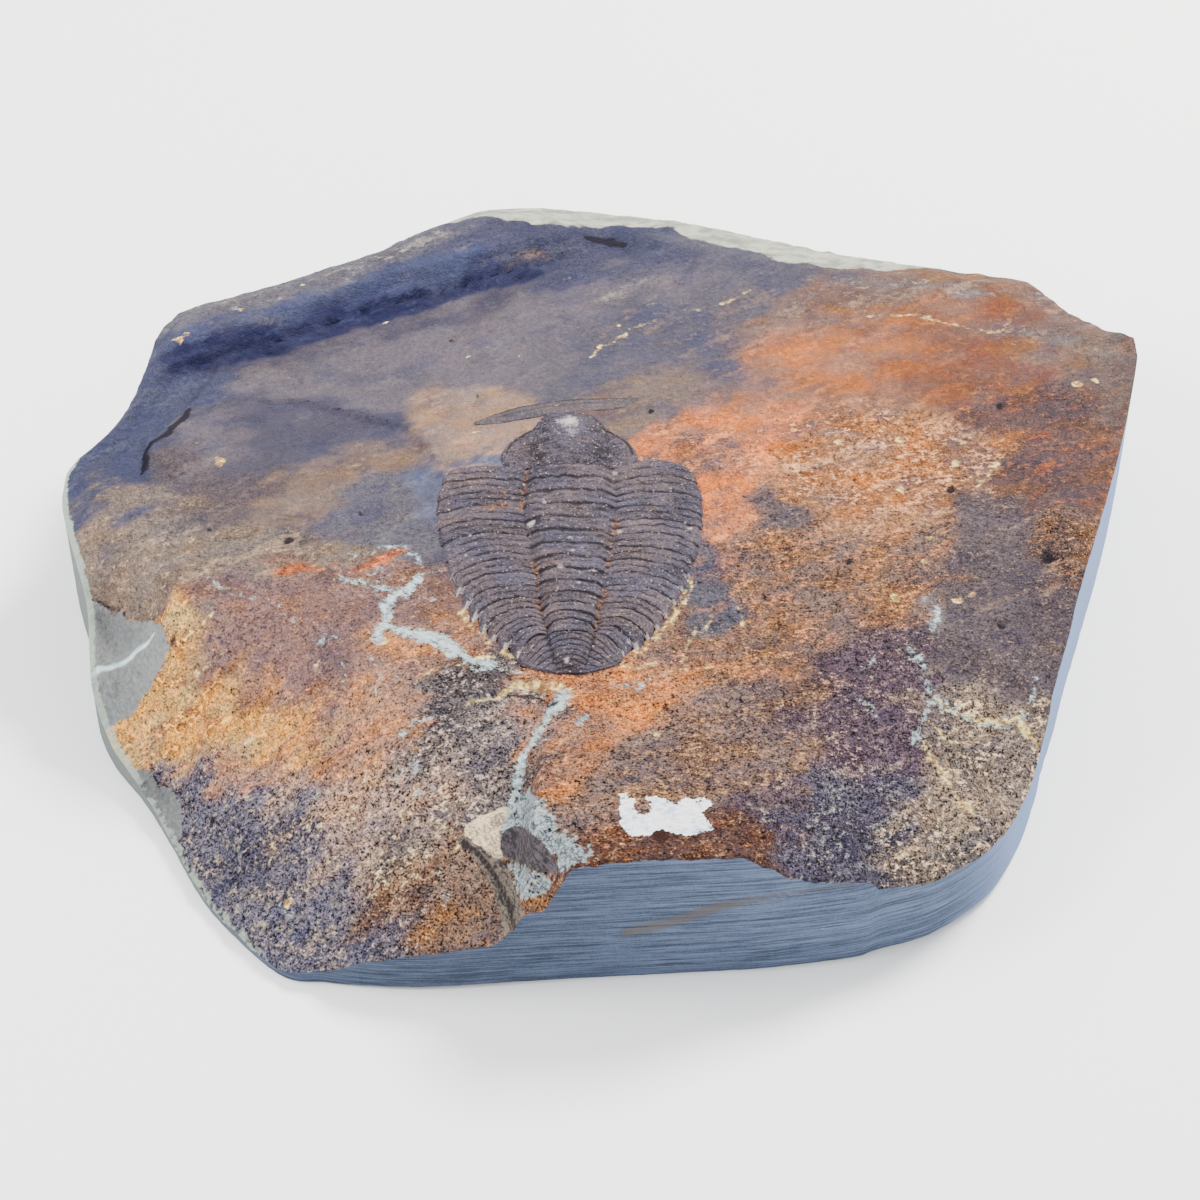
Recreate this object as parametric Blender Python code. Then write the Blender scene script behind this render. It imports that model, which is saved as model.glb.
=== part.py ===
"""A trilobite fossil lying in a sawn slab of shale. Run with: blender --background --python part.py

Sizes are in millimetres and become metres when a mesh is made. +Z is up, +Y runs from the tail of the
animal to its head, and the slab stands on Z = 0 with the middle of its outline at the origin.
"""

import math

import bpy
import numpy as np

MM = 0.001
GAP = 0.3  # clearance between a shell plate and its neighbours

# The slab ---------------------------------------------------------------------------------------
TOP = 24.5  # height of the bedding plane that carries the fossil
SLAB_CELLS = 52  # grid cells across the slab
WALL_STEPS = 2

# Corners of the outline, walking anticlockwise from the front left: x, y, height of the broken rim
# there, and how far inward the surface takes to climb back to the bedding plane.
RIM = [
    (-45.2, -69.2, 1.8, 31), (-38.9, -70.6, 3.2, 28), (-33.3, -71.4, 5.9, 26), (-25.8, -71.8, 8.0, 25),
    (-17.0, -71.3, 9.6, 24), (-13.6, -71.0, 11.5, 22), (-11.4, -70.9, 15.7, 9), (-8.8, -70.7, 16.9, 7),
    (-6.2, -70.5, 22.5, 5), (-3.0, -70.3, 25.2, 3), (15.4, -69.1, 25.2, 3), (19.5, -68.8, 23.2, 6),
    (25.6, -68.0, 18.8, 12), (33.7, -66.6, 17.0, 18), (36.4, -65.4, 14.4, 22), (44.1, -62.6, 13.0, 26),
    (52.1, -56.1, 12.6, 26), (57.1, -47.6, 12.4, 22), (60.4, -38.7, 17.0, 17), (61.3, -35.2, 20.0, 13),
    (64.4, -25.9, 22.8, 8), (66.5, -18.7, 24.2, 3), (75.5, 9.8, 24.4, 2), (81.2, 32.8, 24.2, 3),
    (80.4, 37.2, 24.0, 3), (77.0, 39.2, 23.4, 4), (71.0, 44.8, 23.0, 6), (67.4, 51.2, 22.4, 6),
    (62.4, 53.8, 22.0, 7), (41.4, 59.3, 21.4, 9), (29.4, 63.5, 21.0, 10), (11.4, 69.4, 21.0, 10),
    (-1.6, 71.6, 21.2, 10), (-14.6, 71.8, 22.0, 9), (-22.0, 68.0, 23.8, 6), (-30.5, 61.4, 25.2, 4),
    (-38.4, 55.5, 25.2, 4), (-57.9, 45.6, 25.2, 4), (-65.9, 42.2, 25.0, 4), (-69.9, 37.3, 24.4, 5),
    (-71.8, 28.3, 23.0, 5), (-74.4, 19.2, 22.2, 5), (-80.8, 9.2, 21.4, 5), (-81.2, 4.0, 21.2, 6),
    (-80.2, -1.4, 21.0, 6), (-77.6, -9.5, 20.5, 7), (-75.8, -14.9, 16.5, 10), (-75.0, -21.5, 13.4, 12),
    (-74.3, -26.2, 10.0, 14), (-71.5, -32.0, 5.5, 19), (-66.4, -39.0, 3.0, 25), (-61.9, -46.8, 2.2, 29),
    (-55.3, -58.5, 1.8, 31),
]
RIM_ROUNDING = 0.13  # softness of the crest where a broken flank meets the bedding plane

# A thicker bed survives along the far left; this is the foot of its ledge, left to right.
LEDGE_FOOT = [(-82, 6), (-73, 18), (-68, 29), (-58, 33), (-50, 36.5), (-36, 44), (-24, 49), (-10, 55.5),
              (0, 60)]
LEDGE_RISE = 2.6
LEDGE_WIDTH = 4.0
# The left end has split off along this curved crack (y, x) and sits lower.
LEFT_CRACK = [(-30, -62), (-13.6, -63), (-1, -66), (5, -69.2), (12, -69.4), (21, -63.6), (30, -60)]
LEFT_DROP = 1.3
# A thin sheet has flaked off in front of this line (x, y), left of the head.
FLAKE_LINE = [(-55, 21.5), (-47, 21), (-38, 17.6), (-31, 15.4), (-27, 10)]
FLAKE_DEPTH = 0.6
# Another has flaked off behind the tail, left of the crack that runs to the front edge.
TAIL_FLAKE_LINE = [(-27, -36), (-20, -35.3), (-11, -37), (-8, -40)]
TAIL_CRACK = [(-72, -14.5), (-62, -13.6), (-50, -11.2), (-40, -7.6)]
TAIL_FLAKE_DEPTH = 0.7
CRACK_RISER = 4.0  # width of the broken face along that crack
# Flat broken faces on the left flank: a point of the top edge, the direction downhill, and the slope.
CHIPS = [((-70, -21), (-0.52, -0.85), 1.15), ((-62.5, -33), (-0.99, 0.1), 1.0)]
CHIP_REACH = 13  # they end this far from the middle of the group
CHIP_MIDDLE = (-71, -29)
# Lumps on the surface: x, y, radius, height.
NODULES = [(65.0, -5.5, 3.2, 1.5), (69.0, -10.5, 2.6, 1.3), (63.6, -12.5, 2.2, 0.8), (71.0, 23.5, 2.8, 0.7),
           (-66.5, -29.5, 3.0, 1.2), (1.0, 58.5, 3.4, -1.3)]

# The animal -------------------------------------------------------------------------------------
SEGMENTS = 14
AXIS_X, AXIS_LEAN = -5.6, 0.01  # the midline, and how much it leans to the left towards the head
THORAX_FRONT = 5.3  # y of the front edge of the first segment on the midline
HALF_WIDTH = 19.6  # of the widest segment
WIDEST_SEGMENT = 3.8
TAPER_SEGMENTS = 11.9  # segments from the widest to where the sides would meet
AXIAL_SHARE = 0.335  # the middle lobe's share of the width
AXIAL_RISE = 1.5
SIDE_RISE = 0.9
PLATE_FLOOR = 23.3  # the plates' undersides
BED_FLOOR = PLATE_FLOOR - GAP
CUTTER_TOP = TOP + 6
CREST = 24.6  # level of the plates' outer edges
HEAD_CELLS, TAIL_CELLS, THORAX_COLUMNS, BORDER_ROWS = 18, 14, 23, 19

# Half of the middle head shield's outline, as distances from the midline and y: its front and side from
# the midline to the rear corner, then its back.
HEAD_SIDE = [(0, 17.3), (2.6, 16.8), (5.0, 14.9), (7.8, 12.0), (10.0, 9.8), (10.6, 8.4), (10.2, 7.0)]
HEAD_BACK = [(8.6, 6.3), (5.6, 5.8), (3.0, 5.6), (0, 5.6)]
# The loosened front border of the head: x, y along its middle, and its width there.
BORDER = [(-20.0, 15.6, 1.5), (-17.0, 16.7, 1.9), (-12.5, 18.2, 2.0), (-7.6, 19.3, 1.8), (-2.6, 19.7, 1.9),
          (1.4, 19.7, 2.1), (3.8, 20.4, 1.6)]
BORDER_FLOOR = 23.9
# Half of the tail shield's outline: its front, then its rim to the tip.
TAIL_FRONT = [(0, -29.4), (3.2, -29.5), (6.0, -30.3), (8.0, -31.9)]
TAIL_RIM = [(8.2, -32.8), (6.9, -34.1), (4.4, -35.4), (2.0, -36.0), (0, -36.2)]


def clear_scene():
    for thing in list(bpy.data.objects):
        bpy.data.objects.remove(thing, do_unlink=True)


def smoothstep(start, end, value):
    t = np.clip((value - start) / (end - start), 0, 1)
    return t * t * (3 - 2 * t)


def along(points, value):
    """Reads a line given as pairs: the second number at a value of the first."""
    first, second = zip(*sorted(points))
    return np.interp(value, first, second)


def swell(x, y, size, seed):
    """Smooth uneven ground about 1 high, from six waves in seeded directions."""
    draw = np.random.default_rng(seed)
    total = 0
    for _ in range(6):
        turn, phase = draw.uniform(0, 2 * math.pi, 2)
        pitch = draw.uniform(0.6, 1.8)
        total = total + np.sin((x * math.cos(turn) + y * math.sin(turn)) * 2 * math.pi * pitch / size + phase)
    return total / 3.5


def square_to_disc(cells):
    """Polar places, as radius 0 to 1 and angle, of a square grid bent into a disc."""
    a, b = np.meshgrid(np.linspace(-1, 1, cells + 1), np.linspace(-1, 1, cells + 1), indexing="ij")
    wide = np.abs(a) >= np.abs(b)
    radius = np.where(wide, a, b)
    other = np.where(wide, b, a)
    ratio = np.divide(other, radius, out=np.zeros_like(a), where=radius != 0) * math.pi / 4
    angle = np.where(wide, ratio, math.pi / 2 - ratio)
    x, y = radius * np.cos(angle), radius * np.sin(angle)
    return np.hypot(x, y), np.arctan2(y, x)


def edge_at(outline, angle):
    """Where a ray from the origin meets a closed outline, as its distance and the other columns there."""
    ring = np.array(outline, float)
    start = np.argmin(np.arctan2(ring[:, 1], ring[:, 0]))
    ring = np.roll(ring, -start, axis=0)
    ring = np.vstack([ring, ring[:1]])
    turns = np.unwrap(np.arctan2(ring[:, 1], ring[:, 0]))
    angle = np.where(angle < turns[0], angle + 2 * math.pi, angle)
    piece = np.clip(np.searchsorted(turns, angle, side="right") - 1, 0, len(ring) - 2)
    near, far = ring[piece], ring[piece + 1]
    step = far - near
    share = (near[..., 1] * np.cos(angle) - near[..., 0] * np.sin(angle)) / (
        step[..., 0] * np.sin(angle) - step[..., 1] * np.cos(angle))
    place = near + share[..., None] * step
    return np.hypot(place[..., 0], place[..., 1]), place[..., 2:]


def slab_height(x, y, inward, rim, shoulder):
    """Height of the slab's upper side. inward is the distance from the rim towards the middle."""
    top = TOP + 0.25 * swell(x, y, 70, 5) * smoothstep(20, 40, np.hypot(x - AXIS_X, y + 8))
    foot = y - along(LEDGE_FOOT, x)
    top = top + LEDGE_RISE * smoothstep(0, LEDGE_WIDTH, foot) * smoothstep(4, -14, x)
    crack = along(LEFT_CRACK, y) - x
    top = top - np.where((y > -30) & (foot < 0), LEFT_DROP * smoothstep(-0.8, 0.8, crack), 0)
    flaked = along(FLAKE_LINE, x) - y
    top = top - FLAKE_DEPTH * smoothstep(0, 1.5, flaked) * smoothstep(16, 6, flaked) * (
        smoothstep(-58, -52, x) * smoothstep(-26, -28, x))
    tail_left = along(TAIL_CRACK, y) - x
    behind = along(TAIL_FLAKE_LINE, x) - y
    top = top - TAIL_FLAKE_DEPTH * smoothstep(0, 1.5, behind) * smoothstep(0, 1.5, tail_left) * smoothstep(
        20, 14, tail_left)
    for at_x, at_y, radius, height in NODULES:
        top = top + height * np.exp(-((x - at_x) ** 2 + (y - at_y) ** 2) / radius**2)
    for (at_x, at_y), (down_x, down_y), slope in CHIPS:
        face = TOP - slope * ((x - at_x) * down_x + (y - at_y) * down_y)
        away = np.hypot(x - CHIP_MIDDLE[0], y - CHIP_MIDDLE[1])
        top = np.minimum(top, face + 3 * np.clip(away - CHIP_REACH, 0, None))
    short = 1 - inward / shoulder
    lack = 0.5 * (short + np.sqrt(short**2 + RIM_ROUNDING**2))
    held = smoothstep(0, CRACK_RISER, -tail_left) * smoothstep(5, 9, inward) * (y < 0) * (x < 10)
    lack = lack * (1 - held)
    uneven = 0.8 * swell(x, y, 17, 11) * np.clip(lack, 0, 1) * np.clip(inward / 4, 0, 1)
    return top + (rim - top) * lack + uneven


def grid_faces(rows, columns):
    corner = np.arange(rows * columns).reshape(rows, columns)
    return np.stack([corner[:-1, :-1], corner[1:, :-1], corner[1:, 1:], corner[:-1, 1:]], -1).reshape(-1, 4)


def border_loop(rows, columns):
    """The indices round the outside of a grid, in the direction in which its faces run."""
    corner = np.arange(rows * columns).reshape(rows, columns)
    return np.concatenate([corner[:-1, 0], corner[-1, :-1], corner[:0:-1, -1], corner[0, :0:-1]])


def solid_from_grid(name, points, floor, material, steps=1):
    """A closed body: the grid of points as its upper side, upright walls, and a flat underside."""
    rows, columns = points.shape[:2]
    loop = border_loop(rows, columns)
    vertices = [points.reshape(-1, 3)]
    faces = grid_faces(rows, columns).tolist()
    rim = vertices[0][loop]
    previous, count = loop, len(vertices[0])
    for step in range(1, steps + 1):
        ring = rim.copy()
        ring[:, 2] += (floor - rim[:, 2]) * step / steps
        vertices.append(ring)
        current = np.arange(count, count + len(loop))
        count += len(loop)
        faces += np.stack([previous, current, np.roll(current, -1), np.roll(previous, -1)], -1).tolist()
        previous = current
    faces.append(previous[::-1].tolist())
    mesh = bpy.data.meshes.new(name)
    mesh.from_pydata((np.concatenate(vertices) * MM).tolist(), [], faces)
    mesh.materials.append(material)
    thing = bpy.data.objects.new(name, mesh)
    bpy.context.collection.objects.link(thing)
    return thing


def stone_material(name, colour, roughness):
    material = bpy.data.materials.new(name)
    material.use_nodes = True
    shader = material.node_tree.nodes["Principled BSDF"]
    shader.inputs["Base Color"].default_value = (*colour, 1)
    shader.inputs["Roughness"].default_value = roughness
    shader.inputs["Metallic"].default_value = 0
    return material


def make_slab(material):
    radius, angle = square_to_disc(SLAB_CELLS)
    reach, rim = edge_at(RIM, angle)
    x, y = radius * reach * np.cos(angle), radius * reach * np.sin(angle)
    height = slab_height(x, y, (1 - radius) * reach, rim[..., 0], rim[..., 1])
    return solid_from_grid("matrix_slab", np.stack([x, y, height], -1), 0, material, WALL_STEPS)


def midline(y):
    return AXIS_X - AXIS_LEAN * (y + 15)


def segment_y(segment):
    """The midline's y at a place counted in segments; they shorten towards the tail."""
    return THORAX_FRONT - 2.68 * segment + 0.0012 * segment**3


def segment_half_width(segment):
    side = HALF_WIDTH * np.sqrt(np.clip(1 - ((segment - WIDEST_SEGMENT) / TAPER_SEGMENTS) ** 2, 0, 1))
    return side * (1 - 0.07 * smoothstep(1.5, 0, segment))


def thorax_place(segment, side):
    """x and y of a point on the thorax. side runs from -1 at the left tips to 1 at the right tips."""
    out = np.abs(side)
    forward = 0.5 + 1.1 * smoothstep(6, 0, segment)
    back = 0.5 + 3.6 * smoothstep(4.5, 13, segment)
    y = segment_y(segment) + forward * smoothstep(0.35, 0.8, out) - back * smoothstep(0.6, 1.05, out) ** 1.3
    return midline(y) + side * segment_half_width(segment), y


def lobe_relief(out, share):
    """Three lobes across the body: a vaulted middle lobe, and side lobes that bend down to the rim."""
    middle = np.sqrt(np.clip(1 - (out / share) ** 2, 0, 1))
    flank = np.clip((out - share) / (1 - share), 0, 1)
    return AXIAL_RISE * middle + SIDE_RISE * (1 - flank**2.4) * smoothstep(share * 0.8, share * 1.3, out) + (
        SIDE_RISE * (out < share) * smoothstep(share * 1.02, share * 0.8, out))


def make_thorax(material):
    """Fourteen segments, each climbing to a rear ridge that steps down onto the next one."""
    stations = [(0.05, -0.28), (0.5, 0.06), (0.95, 0.3)]  # place within a segment, height there
    even = np.linspace(-1, 1, THORAX_COLUMNS)
    sides = 0.65 * even + 0.35 * np.sin(even * math.pi / 2)
    rows = []
    for number in range(SEGMENTS):
        for place, ridge in stations:
            x, y = thorax_place(number + place, sides * (0.955 + 0.045 * place))
            z = CREST + lobe_relief(np.abs(sides), AXIAL_SHARE) + ridge * (1 - 0.5 * np.abs(sides) ** 4)
            rows.append(np.stack([x, y, z], -1))
    return solid_from_grid("thorax", np.array(rows), PLATE_FLOOR, material)


def mirrored(half):
    """A closed outline from half of one, given as distances from the midline and y."""
    right = [(midline(y) + out, y) for out, y in half]
    left = [(midline(y) - out, y) for out, y in half if out > 0]
    return right + left[::-1]


def ordered(outline):
    """The same outline, turned so that it runs anticlockwise."""
    ring = np.array(outline, float)
    area = np.sum(ring[:, 0] * np.roll(ring[:, 1], -1) - np.roll(ring[:, 0], -1) * ring[:, 1])
    return ring if area > 0 else ring[::-1]


def widened(outline, distance):
    """An anticlockwise outline moved outward by a distance."""
    ring = ordered(outline)
    run = np.roll(ring, -1, axis=0) - np.roll(ring, 1, axis=0)
    run /= np.linalg.norm(run, axis=1)[:, None]
    return ring + distance * np.stack([run[:, 1], -run[:, 0]], -1)


def plate_grid(outline, cells):
    """x, y and the distance from the middle, 0 to 1, of a grid that fills an outline."""
    ring = ordered(outline)
    centre = (ring.max(axis=0) + ring.min(axis=0)) / 2
    radius, angle = square_to_disc(cells)
    reach, _ = edge_at(ring - centre, angle)
    return centre[0] + radius * reach * np.cos(angle), centre[1] + radius * reach * np.sin(angle), radius


def make_head(material):
    """The middle head shield: a domed glabella with side furrows, and low cheeks."""
    x, y, radius = plate_grid(mirrored(HEAD_SIDE + HEAD_BACK), HEAD_CELLS)
    out = np.abs(x - midline(y))
    swollen = np.clip(1 - (out / (4.9 - 0.11 * (y - 6))) ** 2, 0, 1) * smoothstep(17.2, 14.2, y)
    cheek = 0.9 * np.exp(-(((out - 7.2) / 2.0) ** 2 + ((y - 9.4) / 2.6) ** 2))
    collar = 0.35 * np.exp(-(((y - 6.8) / 0.7) ** 2))
    z = CREST + 0.25 + 2.0 * np.sqrt(swollen) + cheek + collar - 0.5 * smoothstep(0.85, 1, radius)
    return solid_from_grid("cranidium", np.stack([x, y, z], -1), PLATE_FLOOR, material)


def make_tail(material):
    """The tail shield: a short middle lobe with three rings, and a flat rim."""
    x, y, radius = plate_grid(mirrored(TAIL_FRONT + TAIL_RIM), TAIL_CELLS)
    out = np.abs(x - midline(y))
    back = np.clip((-29.4 - y) / 7.2, 0, 1)
    lobe = np.sqrt(np.clip(1 - (out / (3.3 - 1.6 * back)) ** 2, 0, 1)) * smoothstep(0.95, 0.6, back)
    ripple = 0.14 * np.sin(2 * math.pi * (y - 0.12 * out**1.4) / 1.5)
    z = CREST + 0.1 + 1.1 * lobe + 0.55 * (1 - radius**2) + ripple * (1 - radius**4)
    return solid_from_grid("pygidium", np.stack([x, y, z], -1), PLATE_FLOOR, material)


def make_front_border(material):
    """The crescent rim of the head, which broke loose and lies in front of it."""
    middle, half = border_line(BORDER_ROWS)
    run = np.gradient(middle, axis=0)
    run /= np.linalg.norm(run, axis=1)[:, None]
    normal = np.stack([-run[:, 1], run[:, 0]], -1)
    across = np.linspace(-1, 1, 5)
    place = middle[:, None] + normal[:, None] * (across[None, :, None] * half[:, None, None])
    z = CREST + 0.2 + 0.8 * np.sqrt(1 - (0.93 * across) ** 2)
    points = np.concatenate([place, np.broadcast_to(z[None, :, None], (*place.shape[:2], 1))], -1)
    return solid_from_grid("front_border", points, BORDER_FLOOR, material)


def border_line(count):
    """The crescent's middle line as evenly spread points, and half its width at each."""
    given = np.array(BORDER)
    x = np.linspace(given[0, 0], given[-1, 0], count)
    y, width = np.interp(x, given[:, 0], given[:, 1]), np.interp(x, given[:, 0], given[:, 2])
    return np.stack([x, y], -1), width / 2


def bed_outline():
    """The outline of the whole shell, head to tail, that the slab is hollowed for."""
    sides = {}
    for hand in (1, -1):
        front = [thorax_place(0.05, hand * side) for side in (0.7, 0.8, 0.95)]
        tips = [thorax_place(place, hand) for place in np.linspace(0.3, SEGMENTS, 15)]
        head = [(midline(y) + hand * out, y) for out, y in HEAD_SIDE]
        tail = [(midline(y) + hand * out, y) for out, y in TAIL_RIM]
        sides[hand] = head + front + tips + tail
    return sides[1] + sides[-1][-2:0:-1]


def hollow(slab, outline, floor, name):
    """Cuts a flat-bottomed bed out of the slab, GAP wider than the outline."""
    ring = widened(outline, GAP)
    mesh = bpy.data.meshes.new(name)
    count = len(ring)
    low = [(x * MM, y * MM, floor * MM) for x, y in ring]
    high = [(x * MM, y * MM, CUTTER_TOP * MM) for x, y in ring]
    sides = [(i, (i + 1) % count, count + (i + 1) % count, count + i) for i in range(count)]
    mesh.from_pydata(low + high, [], [list(range(count))[::-1], list(range(count, 2 * count))] + sides)
    cutter = bpy.data.objects.new(name, mesh)
    bpy.context.collection.objects.link(cutter)
    cutter.hide_render = True
    cutter.display_type = "WIRE"
    cut = slab.modifiers.new(name, "BOOLEAN")
    cut.operation = "DIFFERENCE"
    cut.solver = "EXACT"
    cut.object = cutter


def main():
    clear_scene()
    stone = stone_material("rusty_shale", (0.30, 0.15, 0.08), 0.75)
    shell = stone_material("brown_shell", (0.075, 0.05, 0.052), 0.6)
    border = stone_material("border_shell", (0.11, 0.075, 0.065), 0.6)
    slab = make_slab(stone)
    make_thorax(shell)
    make_head(shell)
    make_tail(shell)
    make_front_border(border)
    hollow(slab, bed_outline(), BED_FLOOR, "shell_bed")
    middle, half = border_line(9)
    far = [(x, y + width) for (x, y), width in zip(middle, half)]
    near = [(x, y - width) for (x, y), width in zip(middle, half)]
    hollow(slab, near + far[::-1], BORDER_FLOOR - GAP, "border_bed")


main()
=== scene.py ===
import math

import bpy
import numpy as np
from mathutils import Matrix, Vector


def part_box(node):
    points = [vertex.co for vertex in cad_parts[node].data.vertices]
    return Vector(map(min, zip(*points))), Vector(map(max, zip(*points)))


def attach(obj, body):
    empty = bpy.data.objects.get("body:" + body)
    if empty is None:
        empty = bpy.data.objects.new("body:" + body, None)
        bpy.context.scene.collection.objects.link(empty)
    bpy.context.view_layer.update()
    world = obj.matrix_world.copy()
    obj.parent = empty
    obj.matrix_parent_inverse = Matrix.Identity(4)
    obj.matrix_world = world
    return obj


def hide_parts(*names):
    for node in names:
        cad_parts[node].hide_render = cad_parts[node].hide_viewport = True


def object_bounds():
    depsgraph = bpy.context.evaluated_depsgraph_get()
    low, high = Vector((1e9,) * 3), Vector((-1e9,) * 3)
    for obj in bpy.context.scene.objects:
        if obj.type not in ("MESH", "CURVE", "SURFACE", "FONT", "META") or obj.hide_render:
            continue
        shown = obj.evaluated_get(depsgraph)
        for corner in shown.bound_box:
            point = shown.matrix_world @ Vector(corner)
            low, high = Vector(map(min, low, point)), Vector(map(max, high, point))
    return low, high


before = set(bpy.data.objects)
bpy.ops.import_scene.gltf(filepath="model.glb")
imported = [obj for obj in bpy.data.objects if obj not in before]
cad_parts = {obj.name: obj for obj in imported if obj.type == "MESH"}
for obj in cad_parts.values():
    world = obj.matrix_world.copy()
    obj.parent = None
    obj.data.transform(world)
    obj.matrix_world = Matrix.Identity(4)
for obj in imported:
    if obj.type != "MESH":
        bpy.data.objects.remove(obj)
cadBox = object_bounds()
millimetre = 0.001
boxLow, boxHigh = (np.array(corner) / millimetre for corner in cadBox)
boxGap = 0.02  # every piece stays this many millimetres inside the frame's box
slabLow, slabHigh = (np.array(corner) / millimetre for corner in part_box("matrix_slab"))
print("frame loaded: slab", np.round(slabHigh - slabLow, 1), "mm")


# plain maths on whole arrays

def smoothStep(start, end, value):
    t = np.clip((value - start) / (end - start), 0, 1)
    return t * t * (3 - 2 * t)


def along(points, value):  # a line given as pairs, read at a value of the first number
    first, second = zip(*sorted(points))
    return np.interp(value, first, second)


def swell(x, y, size, seed):  # six seeded sine waves added up, about -1 to 1
    draw = np.random.default_rng(seed)
    total = 0
    for _ in range(6):
        turn, phase = draw.uniform(0, 2 * math.pi, 2)
        pitch = draw.uniform(0.6, 1.8)
        total = total + np.sin((x * math.cos(turn) + y * math.sin(turn)) * 2 * math.pi * pitch / size + phase)
    return total / 3.5


def grain(x, y, size, seed):
    # gradient noise: each lattice corner has a seeded slope, and a point blends its four corners' slopes
    # by 6t^5 - 15t^4 + 10t^3 of its place in the cell; about -1 to 1
    turns = np.random.default_rng(seed).uniform(0, 2 * math.pi, (64, 64))
    u, v = x / size, y / size
    i, j = np.floor(u).astype(int), np.floor(v).astype(int)
    f, g = u - i, v - j
    fadeX, fadeY = (t**3 * (t * (6 * t - 15) + 10) for t in (f, g))
    total = 0
    for a in (0, 1):
        for b in (0, 1):
            turn = turns[(i + a) % 64, (j + b) % 64]
            slope = np.cos(turn) * (f - a) + np.sin(turn) * (g - b)
            total = total + slope * (fadeX if a else 1 - fadeX) * (fadeY if b else 1 - fadeY)
    return total * 1.5


def roughness(x, y, size, seed, octaves=4):  # grain at halving sizes and halving heights
    return sum(grain(x, y, size / 2**n, seed + n) / 2**n for n in range(octaves)) / 1.6


def ridges(x, y, size, seed, octaves=3):  # sharp crests where the grain crosses zero, 0 to 1
    return sum((1 - np.abs(grain(x, y, size / 2**n, seed + n)) * 2) / 2**n for n in range(octaves)) / 1.75


def turned(x, y, degrees, stretch):  # axes turned by an angle, with the first one squeezed by stretch
    a = math.radians(degrees)
    return (x * math.cos(a) + y * math.sin(a)) / stretch, y * math.cos(a) - x * math.sin(a)


def lineDistance(x, y, points):  # shortest distance to a line through the points
    nearest = np.full(np.shape(x), 1e9)
    for (ax, ay), (bx, by) in zip(points[:-1], points[1:]):
        runX, runY = bx - ax, by - ay
        share = np.clip(((x - ax) * runX + (y - ay) * runY) / (runX**2 + runY**2), 0, 1)
        nearest = np.minimum(nearest, np.hypot(x - ax - share * runX, y - ay - share * runY))
    return nearest


def insideDistance(x, y, outline):  # distance to a closed outline, positive inside it
    inside = np.zeros(np.shape(x), bool)
    ring = list(outline) + [outline[0]]
    for (ax, ay), (bx, by) in zip(ring[:-1], ring[1:]):
        if ay != by:
            inside ^= ((ay > y) != (by > y)) & (x < (bx - ax) * (y - ay) / (by - ay) + ax)
    return np.where(inside, 1, -1) * lineDistance(x, y, ring)


def ramp(distance, soft):  # 0.5 on the border, 1 at soft inside it, 0 at soft outside it
    return np.clip(0.5 + distance / (2 * soft), 0, 1)


def hill(x, middle, half):  # e^-((x - middle) / half)^2
    return np.exp(-(((x - middle) / half) ** 2))


def mound(x, y, atX, atY, halfX, halfY):  # the product of two hills, one in x and one in y
    return hill(x, atX, halfX) * hill(y, atY, halfY)


def squareToDisc(cells):
    # a square grid bent into a disc: rings of the square become circles; returns radius 0 to 1 and angle
    a, b = np.meshgrid(np.linspace(-1, 1, cells + 1), np.linspace(-1, 1, cells + 1), indexing="ij")
    wide = np.abs(a) >= np.abs(b)
    radius = np.where(wide, a, b)
    other = np.where(wide, b, a)
    ratio = np.divide(other, radius, out=np.zeros_like(a), where=radius != 0) * math.pi / 4
    angle = np.where(wide, ratio, math.pi / 2 - ratio)
    x, y = radius * np.cos(angle), radius * np.sin(angle)
    return np.hypot(x, y), np.arctan2(y, x)


def rounded(outline, parts):
    # a closed outline with each side cut in parts, along the cubic in t that passes through its ends b and c
    # with the slopes (c - a) / 2 and (d - b) / 2 of the corners before and beyond
    ring = np.array(outline, float)
    before, after, beyond = np.roll(ring, 1, 0), np.roll(ring, -1, 0), np.roll(ring, -2, 0)
    t = (np.arange(parts) / parts)[None, :, None]
    a, b, c, d = (points[:, None] for points in (before, ring, after, beyond))
    curve = b + 0.5 * t * (c - a + t * (2 * a - 5 * b + 4 * c - d + t * (3 * (b - c) + d - a)))
    return curve.reshape(-1, ring.shape[1])


def edgeAt(outline, angle):  # where a ray from the origin meets an outline: distance, and the other columns
    ring = np.array(outline, float)
    ring = np.roll(ring, -np.argmin(np.arctan2(ring[:, 1], ring[:, 0])), axis=0)
    ring = np.vstack([ring, ring[:1]])
    turns = np.unwrap(np.arctan2(ring[:, 1], ring[:, 0]))
    angle = np.where(angle < turns[0], angle + 2 * math.pi, angle)
    piece = np.clip(np.searchsorted(turns, angle, side="right") - 1, 0, len(ring) - 2)
    near, step = ring[piece], ring[piece + 1] - ring[piece]
    share = (near[..., 1] * np.cos(angle) - near[..., 0] * np.sin(angle)) / (
        step[..., 0] * np.sin(angle) - step[..., 1] * np.cos(angle))
    place = near + share[..., None] * step
    return np.hypot(place[..., 0], place[..., 1]), place[..., 2:]


def storeOnPoints(mesh, label, values, kind, field):  # stores numbers on the mesh, one row for each point
    layer = mesh.attributes.new(label, kind, "POINT")
    layer.data.foreach_set(field, values.astype(np.float32).ravel())


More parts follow.
